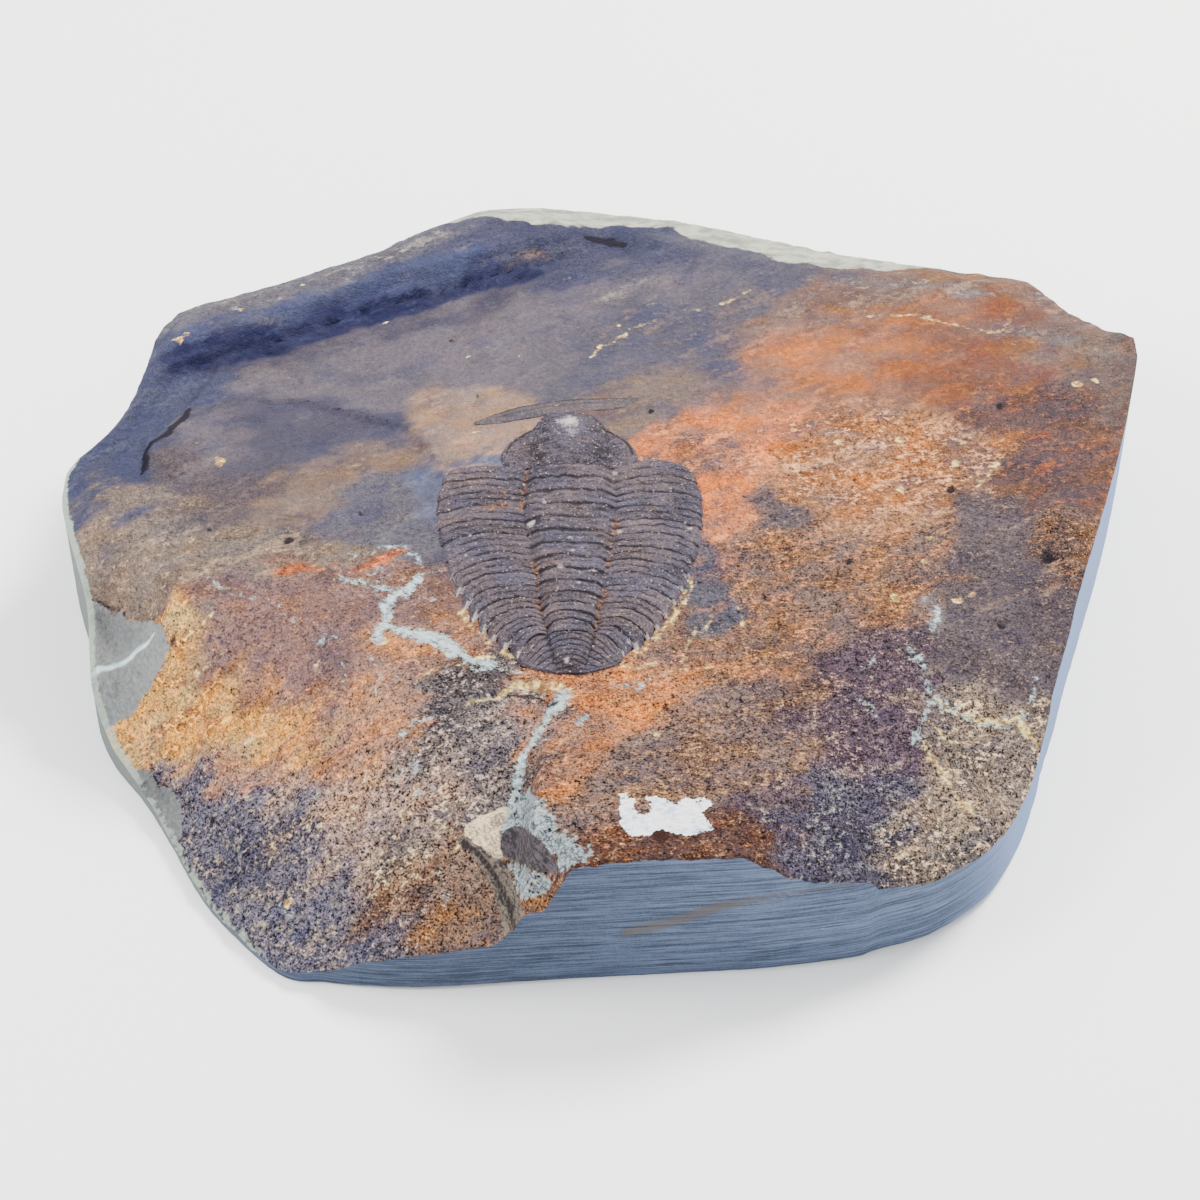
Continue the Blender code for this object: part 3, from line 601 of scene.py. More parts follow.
# stains of the stone, with a few patches of painted shade among them, as marked: how the ground, its darker
# mottling and its flecks look on the slab, then the shares of mottling and flecks and the grittiness, 0 to 1;
# and ovals: x, y, half length, half width, turn in degrees
stains = {
    "paleShelf": ((145, 140, 150), (120, 115, 130), (200, 195, 190), (0.3, 0.35, 0.25), [
        (-60, 41.4, 9, 3.6, 22), (-48, 47.6, 9, 3.6, 28), (-37, 53.2, 8, 3.6, 31), (-29, 57.5, 6, 3.4, 33)]),
    # painted shade: the blue on the far ledge's riser, which faces the camera and away from the key lamp
    "ledgeRiserShade": ((95, 105, 140), (85, 90, 130), (115, 120, 150), (0.3, 0.1, 0.15), [
        (-61, 36.2, 8, 1.3, 22), (-47, 41.6, 9, 1.4, 26), (-36, 46.2, 8, 1.5, 26), (-27, 50.6, 6, 1.5, 27)]),
    # painted shadow: the dark navy at the foot of the far ledge's riser, which faces away from the key lamp
    "ledgeFootShadow": ((60, 65, 110), (35, 40, 90), (85, 95, 135), (0.45, 0.25, 0.15), [
        (-62, 32.6, 7, 1.8, 18), (-52, 35.2, 8, 2.2, 20), (-42, 39.4, 8, 2.5, 25), (-31, 44.2, 8, 2.7, 27),
        (-21, 49.2, 7, 2.3, 27), (-14, 53, 4, 1.6, 25), (-68.5, 27, 4, 1.3, 60), (-64, 29.4, 5, 1.1, 25)]),
    # mostly painted shade: the blue on the lowered surface left of the curved crack and under the far ledge;
    # the oval beside the thorax is the stone's own blue patch
    "leftShadeAndBlue": ((100, 105, 135), (85, 90, 125), (130, 135, 150), (0.35, 0.2, 0.2), [
        (-76, 6, 6, 9, 0), (-72, 17, 5, 6, 30), (-69, 26, 5, 5, 0), (-27.5, 5, 3.6, 2.6, 40),
        (-63, 25, 5, 3.5, 0)]),
    "farSlate": ((100, 100, 130), (80, 85, 115), (125, 125, 140), (0.35, 0.25, 0.25), [
        (-8, 58, 9, 5, 10), (4, 60, 8, 5, 0), (6, 65, 7, 3, -10), (-14, 63, 7, 3, 15), (-22, 61, 6, 4, 30),
        (-4, 50, 8, 3, 25), (8, 55, 5, 4, 0)]),
    "clearBlue": ((135, 140, 160), (120, 125, 150), (165, 165, 175), (0.4, 0.2, 0.1), [
        (-26.6, 4, 2.2, 2.6, 60), (-19, 7.2, 2.6, 0.8, 8), (-27, -1, 1.6, 2.6, 0)]),
    # painted shade: the darker purple on the lowered flake in front of its step
    "flakeStepShade": ((110, 105, 125), (100, 100, 120), (130, 125, 135), (0.3, 0.15, 0.1), [
        (-45, 14.5, 11, 4.4, -10), (-35.5, 14, 6, 2.2, -20), (-50, 9, 7, 4, 0), (-54, 17, 5, 4, 0)]),
    "greyBed": ((145, 135, 145), (125, 120, 130), (160, 150, 150), (0.35, 0.25, 0.15), [
        (-40, 27, 12, 5, 12), (-24, 36, 13, 6, 18), (-10, 42, 9, 4, 15), (-14, 28, 8, 3, 5),
        (2, 48, 9, 3, 15), (-58, 13, 5, 5, 0), (12, 51, 7, 4, 0), (-22, 29, 8, 3, 0)]),
    # painted shadow: the darker fringe that the far ledge casts on the surface just in front of its foot
    "ledgeShadowFringe": ((120, 110, 125), (100, 95, 115), (150, 140, 140), (0.4, 0.25, 0.12), [
        (-52, 30.5, 8, 2, 15), (-41, 34, 7, 1.6, 20), (-30, 39, 7, 1.8, 25), (-18, 45, 5, 2, 25)]),
    "plumBrown": ((130, 115, 120), (110, 100, 110), (160, 140, 140), (0.35, 0.2, 0.3), [
        (-58, -5.5, 6, 2.6, 0), (-60, 7, 5, 4, 0), (-52, 1.5, 5, 2.4, 15)]),
    "tanPlate": ((185, 165, 155), (165, 145, 140), (205, 185, 170), (0.3, 0.2, 0.15), [
        (-24, 12, 4.5, 5.5, 0), (-22.5, 20, 4.5, 2.4, 20), (-15.8, 13.4, 2.8, 2.4, 40), (-27, 18, 3, 3, 0)]),
    "rosyTan": ((165, 145, 135), (140, 120, 125), (185, 165, 150), (0.35, 0.25, 0.2), [
        (-34, 9, 6, 3, 35), (-42, 3.6, 8, 2.8, 25), (-49, -3, 7, 3, 15), (8, 24, 6, 2.5, 20),
        (-12.8, 54.9, 3, 0.6, 12)]),
    "dustyBlue": ((140, 135, 145), (120, 115, 135), (160, 150, 145), (0.4, 0.2, 0.3), [
        (-32, 0, 5, 3.5, 0), (-37, -7, 7, 2.4, 15), (-30, -8, 4, 3, 0), (30, 56, 8, 3, 10),
        (20, 60, 7, 3, 0)]),
    "dust": ((170, 155, 145), (140, 125, 125), (205, 190, 175), (0.35, 0.35, 0.4), [
        (-56, -13, 9, 5, 0), (-66, -8, 7, 5, 0), (-46, -11, 7, 3, 5), (-73, -2, 5, 5, 0),
        (-68, -15, 5, 3, -30)]),
    "rosyRust": ((175, 145, 140), (150, 120, 120), (195, 170, 155), (0.35, 0.25, 0.5), [
        (-46, -20, 10, 5, -10), (-38, -25, 7, 5, 0), (-42, -31, 8, 4, 0), (-52, -26, 6, 4, 0),
        (-34, -30, 5, 4, 0)]),
    "emberStreak": ((185, 130, 105), (165, 110, 95), (225, 175, 145), (0.35, 0.3, 0.5), [
        (-34.5, -14.2, 4, 0.6, 27), (-42, -14.6, 5, 0.5, 16)]),
    "ochre": ((215, 195, 155), (185, 150, 120), (235, 215, 175), (0.35, 0.35, 0.6), [
        (-60, -30, 5, 4, -15), (-63, -25, 3, 3.5, -20), (-55, -35, 8, 3, -22), (-46, -39, 8, 3.2, -15),
        (-66, -31, 4, 2, -30)]),
    "rustyLeft": ((200, 170, 150), (170, 135, 125), (220, 190, 165), (0.4, 0.35, 0.65), [
        (-36, -38, 8, 5, 0), (-40, -44, 9, 4, -10), (-30, -41, 5, 4, 0), (-52, -42, 6, 3, -25),
        (-28.5, -30.5, 4, 3, 0), (-47, -33, 7, 2, -10)]),
    "slateLow": ((155, 150, 165), (100, 100, 125), (195, 185, 175), (0.4, 0.38, 1.0), [
        (-52, -51, 6, 8, 35), (-46, -58, 8, 6, -35), (-38, -65, 10, 4, -20), (-58, -44, 3, 5, 20),
        (-46, -49, 6, 3, -30)]),
    "roughTan": ((200, 180, 170), (150, 135, 130), (220, 210, 195), (0.4, 0.35, 1.0), [
        (-34, -54, 8, 5, 0), (-30, -61, 7, 4, 0), (-41, -52, 6, 4, -30), (-24, -57, 4, 4, 0)]),
    "lowRust": ((180, 150, 130), (145, 115, 110), (200, 180, 165), (0.4, 0.25, 1.0), [
        (-23, -66, 6, 4, 0), (-30, -68, 6, 2, -10), (-20, -62, 3, 3, 0)]),
    "speckled": ((165, 155, 155), (125, 115, 120), (210, 200, 195), (0.4, 0.35, 1.0), [
        (-20, -41, 6, 4, 0), (-16, -46, 7, 5, 30), (-17, -53, 5, 5, 0), (-24, -48, 4, 4, 20),
        (-22, -37.5, 5, 1.4, 0)]),
    "slantBands": ((125, 120, 135), (105, 105, 130), (170, 150, 140), (0.4, 0.35, 0.15), [
        (2, 38, 8, 6, 40), (12, 35, 7, 6, 40), (15, 28, 5, 5, 30), (20, 46, 8, 5, 30), (26, 52, 7, 4, 10)]),
    "farOrange": ((195, 150, 125), (175, 135, 115), (210, 165, 140), (0.4, 0.3, 0.15), [
        (32, 26, 9, 6, 20), (26, 20, 7, 4, 30), (38, 35, 10, 5, 15), (25, 30, 4, 5, 0)]),
    "farRose": ((170, 140, 125), (150, 120, 115), (195, 180, 165), (0.4, 0.3, 0.25), [
        (30, 42, 8, 4, 20), (40, 44, 10, 4, 5), (55, 51, 10, 4, 0), (68, 46, 6, 5, -40), (66, 35, 5, 3, 0),
        (44, 54, 7, 2, 0)]),
    "brick": ((165, 115, 95), (155, 100, 90), (190, 140, 115), (0.4, 0.25, 0.15), [
        (54, 32, 9, 6, 0), (50, 25, 7, 4, 0), (60, 43, 7, 3, -10), (48, 40, 8, 2.5, 5)]),
    "vividOrange": ((215, 170, 135), (165, 130, 125), (230, 200, 170), (0.5, 0.35, 0.4), [
        (18, 13, 5, 3.5, 30), (17, 5, 4, 5, 0), (17, -4, 3, 6, 0), (26, 16, 6, 3, 25)]),
    "goldMix": ((200, 160, 125), (165, 130, 120), (225, 205, 185), (0.4, 0.4, 0.55), [
        (38, 11, 9, 4, 0), (50, 9, 8, 4, 0), (44, 3, 9, 4, 0), (40, -4, 8, 4, 0), (36, 15, 7, 3, 10),
        (33, -1, 6, 4, 0)]),
    "plumRim": ((150, 130, 125), (130, 105, 105), (190, 150, 130), (0.4, 0.2, 0.35), [
        (75, 30, 4, 9, 0), (77, 22, 3, 7, 0), (72, 36, 5, 3, -20)]),
    "rustyPlum": ((145, 110, 105), (120, 95, 100), (195, 130, 80), (0.45, 0.35, 0.4), [
        (66, 12, 7, 7, 60), (62, 20, 7, 4, 0), (70, 2, 5, 6, 0), (60, 3, 5, 5, 0), (71, 14, 4, 6, 0)]),
    "smoke": ((140, 125, 130), (115, 100, 110), (185, 165, 150), (0.4, 0.25, 0.5), [
        (55, -5, 5, 7, 0), (54, -15, 6, 6, 0), (56, -24, 6, 5, 0), (24, -4, 3.5, 4, 20), (50, -31, 7, 3, 0),
        (64, -25, 3, 6, 0)]),
    "umber": ((175, 145, 130), (145, 120, 115), (215, 180, 150), (0.4, 0.35, 0.7), [
        (28, -13, 6, 6, 0), (34, -20, 6, 5, 0), (28, -27, 8, 4, 0), (22, -10, 4, 5, 0), (44, -12, 6, 5, 0),
        (40, -20, 5, 5, 0), (22, -34, 7, 3, 0), (22, -20, 3, 5, 0)]),
    "plumBlue": ((135, 130, 140), (115, 110, 130), (200, 160, 130), (0.35, 0.25, 0.5), [
        (14.2, -14, 1.5, 4, 0), (14.4, -22, 1.8, 4.5, 0)]),
    "purple": ((140, 115, 130), (105, 80, 105), (205, 190, 180), (0.4, 0.28, 0.9), [
        (36, -36, 5, 6, 0), (38, -43, 6, 5, 0), (30, -47, 6, 4, 0), (42, -34, 3, 4, 0), (21, -59, 5, 3, 0)]),
    "straw": ((185, 170, 160), (135, 130, 135), (225, 215, 200), (0.45, 0.35, 0.9), [
        (50, -46, 6, 6, 0), (47, -54, 6, 5, 0), (56, -41, 5, 3.5, 0), (40, -61, 6, 3, 0),
        (50, -38.5, 7, 1.6, 0)]),
    "slateFront": ((140, 130, 150), (95, 85, 110), (185, 185, 185), (0.45, 0.33, 1.0), [
        (34, -56, 6, 4, 0), (28, -60, 7, 3.5, 0), (38, -52, 4, 4, 0), (30, -64, 7, 2.5, 0)]),
    "amber": ((210, 170, 135), (185, 145, 125), (225, 195, 155), (0.4, 0.25, 0.7), [
        (-2, -44, 7, 5, 0), (-5, -50, 4, 5, 0), (3, -40, 7, 3, 0), (0, -37, 8, 2, 0), (20, -35, 5, 2, 0)]),
    "frontBrown": ((175, 150, 140), (145, 120, 120), (205, 180, 150), (0.4, 0.35, 0.85), [
        (8, -48, 8, 4, 0), (2, -54, 8, 4, 0), (14, -55, 7, 4, 0), (22, -50, 6, 5, 0), (18, -42, 7, 5, 0),
        (-5, -59, 4, 3, 0)]),
    "brickRim": ((140, 95, 85), (115, 80, 75), (200, 175, 155), (0.4, 0.3, 0.8), [
        (8, -67.5, 8, 1.6, 0), (18, -63.5, 5, 2.4, 0), (-2, -66, 3, 1.6, -20)]),
    "paleSmear": ((170, 160, 160), (145, 135, 140), (205, 200, 195), (0.35, 0.4, 0.3), [
        (46, 48.4, 8, 1.1, -3), (57, 46.6, 4, 0.9, -8), (70.5, 34.8, 3.5, 1.3, -30), (66, 37.5, 3, 1.1, 0),
        (35, 13.6, 3, 0.7, -10), (30, 16.5, 3, 0.8, 20), (46, -24, 1.4, 2, 0), (1, 46, 5, 0.8, 25)]),
    "nodule": ((165, 135, 120), (125, 90, 80), (210, 185, 165), (0.4, 0.3, 0.8), [
        (65.5, -7, 3.5, 4, 0), (63.5, -15, 2.5, 3, 0)]),
}
# pale blue-grey veins, half width first
blueVeins = [
    (0.22, [(-58, -16), (-55.5, -19), (-53.5, -21), (-49, -21.2), (-47.5, -22), (-45.5, -24),
        (-44, -26.5), (-42, -27.5), (-40.5, -28.5)]),
    (0.2, [(-41, -26), (-39.5, -27.5), (-37.5, -29.5)]),
    (0.5, [(-37, -13.3), (-35, -12), (-33, -10.8), (-31, -10.6), (-29.5, -11), (-28, -13), (-27.5, -15.5),
        (-27.2, -17)]),
    (1.1, [(-27.2, -17), (-29.5, -20), (-31.5, -22.5), (-32, -26), (-33, -29)]),
    (0.35, [(-27.2, -17), (-24.5, -15.8), (-23.6, -15.4)]),
    (0.4, [(-30, -20.5), (-26, -21.5), (-23, -20.5)]), (0.4, [(-37, -19), (-34.5, -17), (-33, -15.5)]),
    (0.35, [(-33.5, -20.5), (-34, -18), (-31.5, -16.5)]),
    (1.2, [(-32, -26), (-28, -28), (-24, -29.5), (-22.5, -31.5), (-20, -33), (-16.5, -34.4)]),
    (1.6, [(-29, -27.4), (-24, -29.5), (-21.8, -32)]),
    (0.8, [(-38, -17.4), (-34.6, -18.4), (-31.5, -19.5)]),
    (0.55, [(-19.5, -34.8), (-16, -35.3), (-12, -35.4)]),
    (0.25, [(-34, -32), (-32, -33), (-30.5, -34.5), (-29, -36.5), (-26.5, -38)]),
    (0.5, [(-32.3, -33.5), (-32, -36), (-32.3, -38)]), (0.25, [(-38.2, -32), (-37, -35.5), (-36.5, -38)]),
    (0.5, [(-28.5, -45.2), (-26.5, -44), (-24, -42.5)]), (0.25, [(-30.5, -46.2), (-28.5, -45.2)]),
    (1.0, [(-7, -39.4), (-7.6, -41.5), (-9, -44), (-10.5, -47.5), (-12, -50), (-13, -53), (-14, -56),
        (-14.6, -58)]),
    (1.1, [(-6.6, -40.5), (-7.6, -42.6)]), (0.5, [(-5, -44.5), (-3.4, -43.6), (-4.6, -46)]),
    (0.3, [(0.2, -38.3), (2.5, -38.2), (4, -37.3), (6, -36.8), (7.5, -36)]),
    (0.4, [(3.2, -38.8), (5, -37.4)]), (0.7, [(41, -31), (43, -33), (43.3, -35.5), (44.2, -37.2)]),
    (0.7, [(44.2, -37.2), (47, -38.7), (50, -39.8), (54, -39.6), (57, -38.2)]),
    (0.5, [(57, -38.2), (59, -34)]), (0.7, [(46, -22), (45.2, -28)]),
    (0.6, [(44.3, -38), (42, -42), (41.5, -45)]), (0.5, [(33, -39), (35, -40), (36, -41.5)]),
    (0.4, [(34, -34.5), (36.5, -33)]), (0.5, [(-29, -50.6), (-26.5, -50.2)]),
    (0.4, [(-27, -53.5), (-24, -52.5)]), (0.5, [(-23.5, -62), (-21.5, -66)]),
    (0.4, [(-45, -62), (-43, -63)]), (0.5, [(-41, -49.5), (-39.5, -50.5)]),
    (0.5, [(-51.5, -38), (-50.6, -38.3)]),
]
# cream veins in the same way
creamVeins = [
    (0.35, [(-30.6, -26.8), (-31.3, -28.3), (-32, -30)]),
    (0.3, [(-26.2, -36.8), (-25.2, -35.5), (-23.5, -34.6), (-21.5, -34.3), (-20, -34.7)]),
    (0.7, [(-15, -39), (-13, -37.7), (-10.5, -37.6), (-8, -38), (-6.4, -39)]),
    (0.35, [(-19.6, -40.6), (-17, -39.6), (-15.5, -39.8)]), (0.6, [(-18.8, -32.6), (-16.8, -33)]),
    (0.2, [(4.5, -46), (6.8, -47.5)]), (0.3, [(-2, -33), (0, -34.2), (3, -34.8), (6, -34)]),
    (0.2, [(8, -35.4), (12, -35), (16, -34), (20, -33.4), (24, -32.4)]),
    (0.2, [(9, -34), (11, -30), (12, -27)]),
    (0.35, [(44.2, -37.2), (47, -38.5), (50, -39.4), (54, -39.2), (57, -38)]),
    (0.5, [(56, -39), (59, -41.5)]), (0.35, [(43.5, -41), (46, -43), (49, -42.5)]),
    (0.45, [(42.5, -45), (44.5, -48), (47, -51.5), (49, -54)]),
    (0.25, [(-60, -25), (-57, -24), (-56, -23.5)]), (0.3, [(-60, -28.2), (-57, -27.9), (-54.5, -27)]),
    (0.25, [(-52.5, -36), (-50, -35.6)]),
    (0.3, [(40, 40.5), (46, 41), (51, 39.5), (56, 37.5), (60, 37), (62, 40)]),
    (0.25, [(-3, 31), (0, 34), (3, 37.5), (7, 40)]), (0.25, [(12, 42), (18, 44), (22, 47)]),
    (0.3, [(18, -23), (19, -25.5), (18.4, -27)]), (0.2, [(13.5, -24.5), (12.5, -28.5)]),
    (0.3, [(52, 5), (54.5, 2)]), (0.3, [(53, 1.5), (57.5, 7.5)]),
    (0.35, [(-14, -58), (-17, -57.5), (-21, -60)]),
]
# pale fragments: x, y, radius
fragments = [
    (-66.6, 32.8, 0.7), (-64.8, 33.8, 0.6), (-1.6, 33.5, 0.5), (1.5, 38.3, 0.4), (-57.6, 39.5, 0.6),
    (-17, 37, 0.3), (-48, 45.4, 0.5), (40, -21.3, 0.9), (49, -21.8, 0.8), (50.8, -20.8, 0.6),
    (43, 12.2, 0.9), (52.2, 11.6, 0.8), (51, 7, 0.7), (42.5, 1.6, 0.7), (36.8, -7.8, 0.7),
    (45.5, -8.8, 0.6), (35.5, 19, 0.4), (-57.6, 7, 0.9), (-61.7, 10.8, 0.5), (-37.4, 6.3, 0.4),
    (-35.4, 39, 0.4), (-22.2, 31.4, 0.5), (-20.4, 14, 0.7), (-14, 31.2, 0.4), (-26.5, -47.8, 0.5),
    (-38, -43, 0.4), (-51, -38, 0.6), (-41, -31.5, 0.5), (-43.6, -61.6, 0.7), (71, 24.5, 0.9),
    (73.4, 25.4, 0.6), (34, 12, 0.7), (44.5, -14, 0.5),
]
# thin cracks, half width first; their darkness is painted shade
cracks = [
    (0.6, [(-63.5, 19), (-64.5, 16.5), (-67, 13.5), (-69, 10.5), (-69, 6)]),
    (0.1, [(-64.2, 26), (-64.6, 22), (-63.6, 19.5)]),
    (0.16, [(-50, 21.3), (-44, 20.2), (-38, 18), (-33, 16.6), (-29.6, 16)]),
    (0.12, [(-29.6, 16), (-27.5, 12), (-26.6, 9)]), (0.2, [(-20.4, 22), (-20.6, 19.5), (-20.2, 17.2)]),
    (0.2, [(-20, -35.4), (-16, -35.9), (-12, -36.1), (-10.8, -35.8)]),
    (0.3, [(-14.2, -39.9), (-12, -39.5), (-10, -39.4), (-8.4, -40.3)]),
    (0.2, [(-4.6, -36.5), (-2, -35.5), (-1.2, -34.6)]),
    (0.25, [(-76, -13.8), (-71.5, -15.2), (-68, -17.5), (-65, -21), (-62.4, -24.6)]),
    (0.25, [(-66, -36.2), (-63, -38.5), (-60.4, -41.5)]), (0.6, [(-4, 60), (-1, 60.6), (2, 60.2)]),
    (0.2, [(-16, 54.6), (-13, 55.6), (-10.2, 56.4)]),
    (0.15, [(62, -1), (60.2, -10), (59.4, -20), (59.2, -29)]), (0.15, [(4, 21.9), (1, 21), (-3, 20.9)]),
    (0.2, [(-31, -49), (-28, -49.6)]), (0.3, [(62, -12), (64.6, -14.4)]),
]
# outlines of faces and patches with a look of their own, and the ridge between the chips, which gets a
# painted highlight: x, y
freshFaces = [
    [(-82, -13), (-74, -14.6), (-70.5, -16), (-67, -19), (-64.2, -22), (-62.4, -25), (-64, -26.8),
        (-66.5, -28), (-69, -29), (-73, -30.2), (-82, -31)],
    [(-76, -36), (-68, -35.4), (-65.4, -37), (-62, -40), (-60.2, -44), (-60.6, -47), (-66, -50)],
]
chipRidge = [(-78, -25.6), (-72, -23.4), (-65.6, -22.4)]
limeFace = [
    (-31, 63.6), (-26, 63.2), (-21, 63.8), (-17, 61.8), (-12, 60.8), (-5, 61.8), (0, 64.6), (5, 66),
    (9, 66.4), (13, 62), (22, 58.5), (28, 55), (34, 54), (44, 53.6), (52, 55.4), (66, 58), (40, 76),
    (-32, 80),
]
paintPatch = [
    (1.0, -58), (2.2, -58.6), (3.0, -59.6), (2.6, -60.8), (4.2, -62), (5.2, -60.6), (4.4, -58.4),
    (6.2, -58.6), (8.2, -59.6), (10.0, -58.6), (12.6, -58.8), (13.2, -60.2), (11.6, -61.2), (12.2, -62.6),
    (13.6, -64), (10.6, -65.2), (7.6, -65), (6.4, -64.2), (5, -65.2), (2.4, -65.4), (1.2, -64), (0.9, -61),
]
paintStains = [(6.4, -65.3, 1.0), (11.2, -59.9, 0.35), (3.6, -60.4, 0.5)]  # x, y, radius
oldStain = (6.4, -65.4, 1.2)
brownStreak = [(2, 10.2), (8, 12), (14, 14.6), (20, 16), (28, 16.4), (38, 16.8)]  # x, z on the sawn front
wedges = {"half": 0.36, "wider": 0.12, "firstRight": 7, "firstLeft": 9}  # pale, between the rear tips
# the broken strip where the crack meets the front, in x and the sum of y and height: a dark leaf, pale
# crystals round it, a smooth tan lens, and a barky edge with a dark seam
darkLeaf = [
    (-15.0, -42.9), (-14.7, -41.3), (-13.2, -40.1), (-11.6, -40.0), (-10.4, -40.8), (-8.9, -42.4),
    (-7.9, -44.7), (-6.6, -47.7), (-8.2, -48.0), (-10.3, -47.4), (-12.3, -46.7), (-13.7, -46.3),
    (-14.8, -44.7),
]
crystals = [
    (-15.0, -40.1), (-14.3, -37.6), (-13.5, -34.6), (-12.6, -33.7), (-11.2, -33.3), (-9.2, -33.9),
    (-9.4, -35.5), (-7.8, -36.9), (-6.9, -39.7), (-5.1, -41.1), (-3.7, -42.4), (-1.8, -43.6), (-3.4, -44.8),
    (-5.5, -47.0), (-6.8, -47.6), (-8.2, -44.0), (-11, -42), (-14, -43), (-15.4, -44),
]
crystalHollow = [
    (-14.6, -46.2), (-12.3, -46.4), (-10.3, -47.2), (-8.4, -48.0), (-7.6, -50.4), (-10.2, -53.0),
    (-12.4, -53.5), (-13.4, -50.0),
]
tanLens = [
    (-20.0, -40.1), (-18.4, -38.8), (-16.4, -37.6), (-14.1, -36.2), (-13.9, -37.6), (-14.9, -39.9),
    (-15.2, -42.9), (-15.0, -44.7), (-14.2, -46.5), (-15.8, -46.0), (-17.6, -44.2), (-19.6, -42.0),
]
barkStrip = [
    (-20.6, -41.5), (-19.6, -42.0), (-17.6, -44.2), (-15.8, -46.0), (-14.2, -46.5), (-13.4, -49.6),
    (-12.4, -53.1), (-11.6, -56.0), (-11.4, -60), (-14.4, -60), (-15.3, -54.9), (-15.8, -52.7),
    (-16.8, -49.6), (-18.4, -46.0), (-20.8, -43.1),
]
darkSeam = [
    (-20.8, -41.9), (-19.3, -43.2), (-17.5, -45.0), (-16.0, -47.6), (-14.5, -51.2), (-13.4, -54.0),
    (-12.4, -60), (-13.0, -60), (-14.2, -54.4), (-15.2, -51.6), (-16.6, -48.2), (-18.0, -45.8),
    (-20.2, -43.8),
]


def stainLayers(x, y):
    # means of the stains' three tones and three shares, each weighted by e^(firm (noise - falloff d^2)),
    # where d is the distance from the nearest oval's middle in its own lengths, a little less for a small one
    u, v = (place + spread["bend"] * roughness(x, y, spread["bendSize"], seed, 6)
            for place, seed in ((x, 101), (y, 121)))
    lain = turned(x, y, spread["streakTurn"], spread["streakStretch"])
    firm = 1 - spread["softening"] * smoothStep(0, 25, y) * smoothStep(-12, 6, x)
    total = np.zeros(x.shape)
    layers = [np.zeros((*x.shape, 3)) for _ in range(4)]
    for seed, (ground, mottle, fleck, shares, ovals) in enumerate(stains.values()):
        nearest = np.full(x.shape, 1e9)
        for atX, atY, length, width, turn in ovals:
            lengthwise, crosswise = turned(u - atX, v - atY, turn, 1)
            away = (lengthwise / length) ** 2 + (crosswise / width) ** 2
            nearest = np.minimum(nearest, away + spread["smallFirst"] * math.log(length * width))
        noise = spread["noise"] * roughness(*lain, spread["noiseSize"], 300 + 10 * seed, 5)
        weight = np.exp(np.clip((noise - spread["falloff"] * nearest) * firm, -60, 40))
        total = total + weight
        for layer, tone in zip(layers, (tint(*ground), tint(*mottle), tint(*fleck), np.array(shares))):
            layer += weight[..., None] * tone
    return [layer / total[..., None] for layer in layers]


def wedgeLines():
    # a line from between two tips, out past their corner and back along the rim, for each rear segment
    lines = []
    for hand, first in ((1, wedges["firstRight"]), (-1, wedges["firstLeft"])):
        for number in range(first, animal["segments"]):
            between = ((number + 0.02, 0.93), (number + 0.05, 1.03), (number + 0.6, 1.035))
            half = wedges["half"] + wedges["wider"] * (number % 2)
            lines.append((half, [thoraxPlace(place, hand * out) for place, out in between]))
    return lines


def slabMarks(x, y, height, ground, shares, brighter):
    # everything drawn on the slab as soft masks, 0 to 1; the grain bends each place a little
    u = x + 0.35 * grain(x, y, 1.6, 161) + 0.6 * grain(x, y, 4, 163)
    v = y + 0.35 * grain(x, y, 1.6, 162) + 0.6 * grain(x, y, 4, 164)

    def lines(given, soft):
        return np.max([ramp(half - lineDistance(u, v, points), soft) for half, points in given], axis=0)

    def dots(given, soft):
        return np.max([ramp(size - np.hypot(u - atX, v - atY), soft) for atX, atY, size in given], axis=0)

    def area(outline, soft):
        return ramp(insideDistance(u, v, outline), soft)

    slope = y + height  # the broken front is drawn by x and this, which grows up the slope as well as inward
    wavy = 0.25 * grain(x, slope, 1.5, 173)

    def onFront(outline, soft):
        return ramp(insideDistance(x + wavy, slope + wavy, outline), soft) * (y < -50)

    wedge = lines(wedgeLines(), 0.8) * np.clip(1.05 + 0.8 * roughness(x, y, 4, 171), 0, 1)
    # painted highlight along the ridge between the chips, carried with the cream veins
    ridge = lines([(0.3, chipRidge)], 0.6)
    cream = np.maximum.reduce([lines(creamVeins, 0.9), ridge, dots(fragments, 0.6), wedge])
    # painted shade in the cracks and pits
    dark = np.maximum(lines(cracks, 0.5), dots(pits, 0.5))
    fresh = np.maximum(area(freshFaces[0], 0.8), area(freshFaces[1], 0.8))
    paint = np.minimum(ramp(insideDistance(x, y, paintPatch), 0.6), 1 - dots(paintStains, 0.5))
    pale = np.maximum(onFront(crystals, 1.4), onFront(crystalHollow, 1.0))
    warm = smoothStep(1.0, 3.2, ground[..., 0] / ground[..., 2])
    clouds = roughness(*turned(x, y, 18, 1.7), 5, 181, 4)
    gloom = roughness(*turned(x, y, 25, 1.6), 4.5, 191, 4)
    triples = {
        "veins": (lines(blueVeins, 1.7), cream, dark),
        "faces": (fresh, area(limeFace, 1.5), paint),
        "front": (onFront(darkLeaf, 0.6), pale, onFront(barkStrip, 0.6)),
        "seams": (onFront(tanLens, 0.7), onFront(darkSeam, 0.5), dots([oldStain], 0.8)),
        # brighter is the painted light from lightShare, carried to the shader
        "lie": (smoothStep(-24, -8, x), warm, brighter),
        "glaze": (clouds, gloom, roughness(x, y, 14, 196, 3)),
    }
    return {"shares": shares, **{label: np.stack(three, -1) for label, three in triples.items()}}
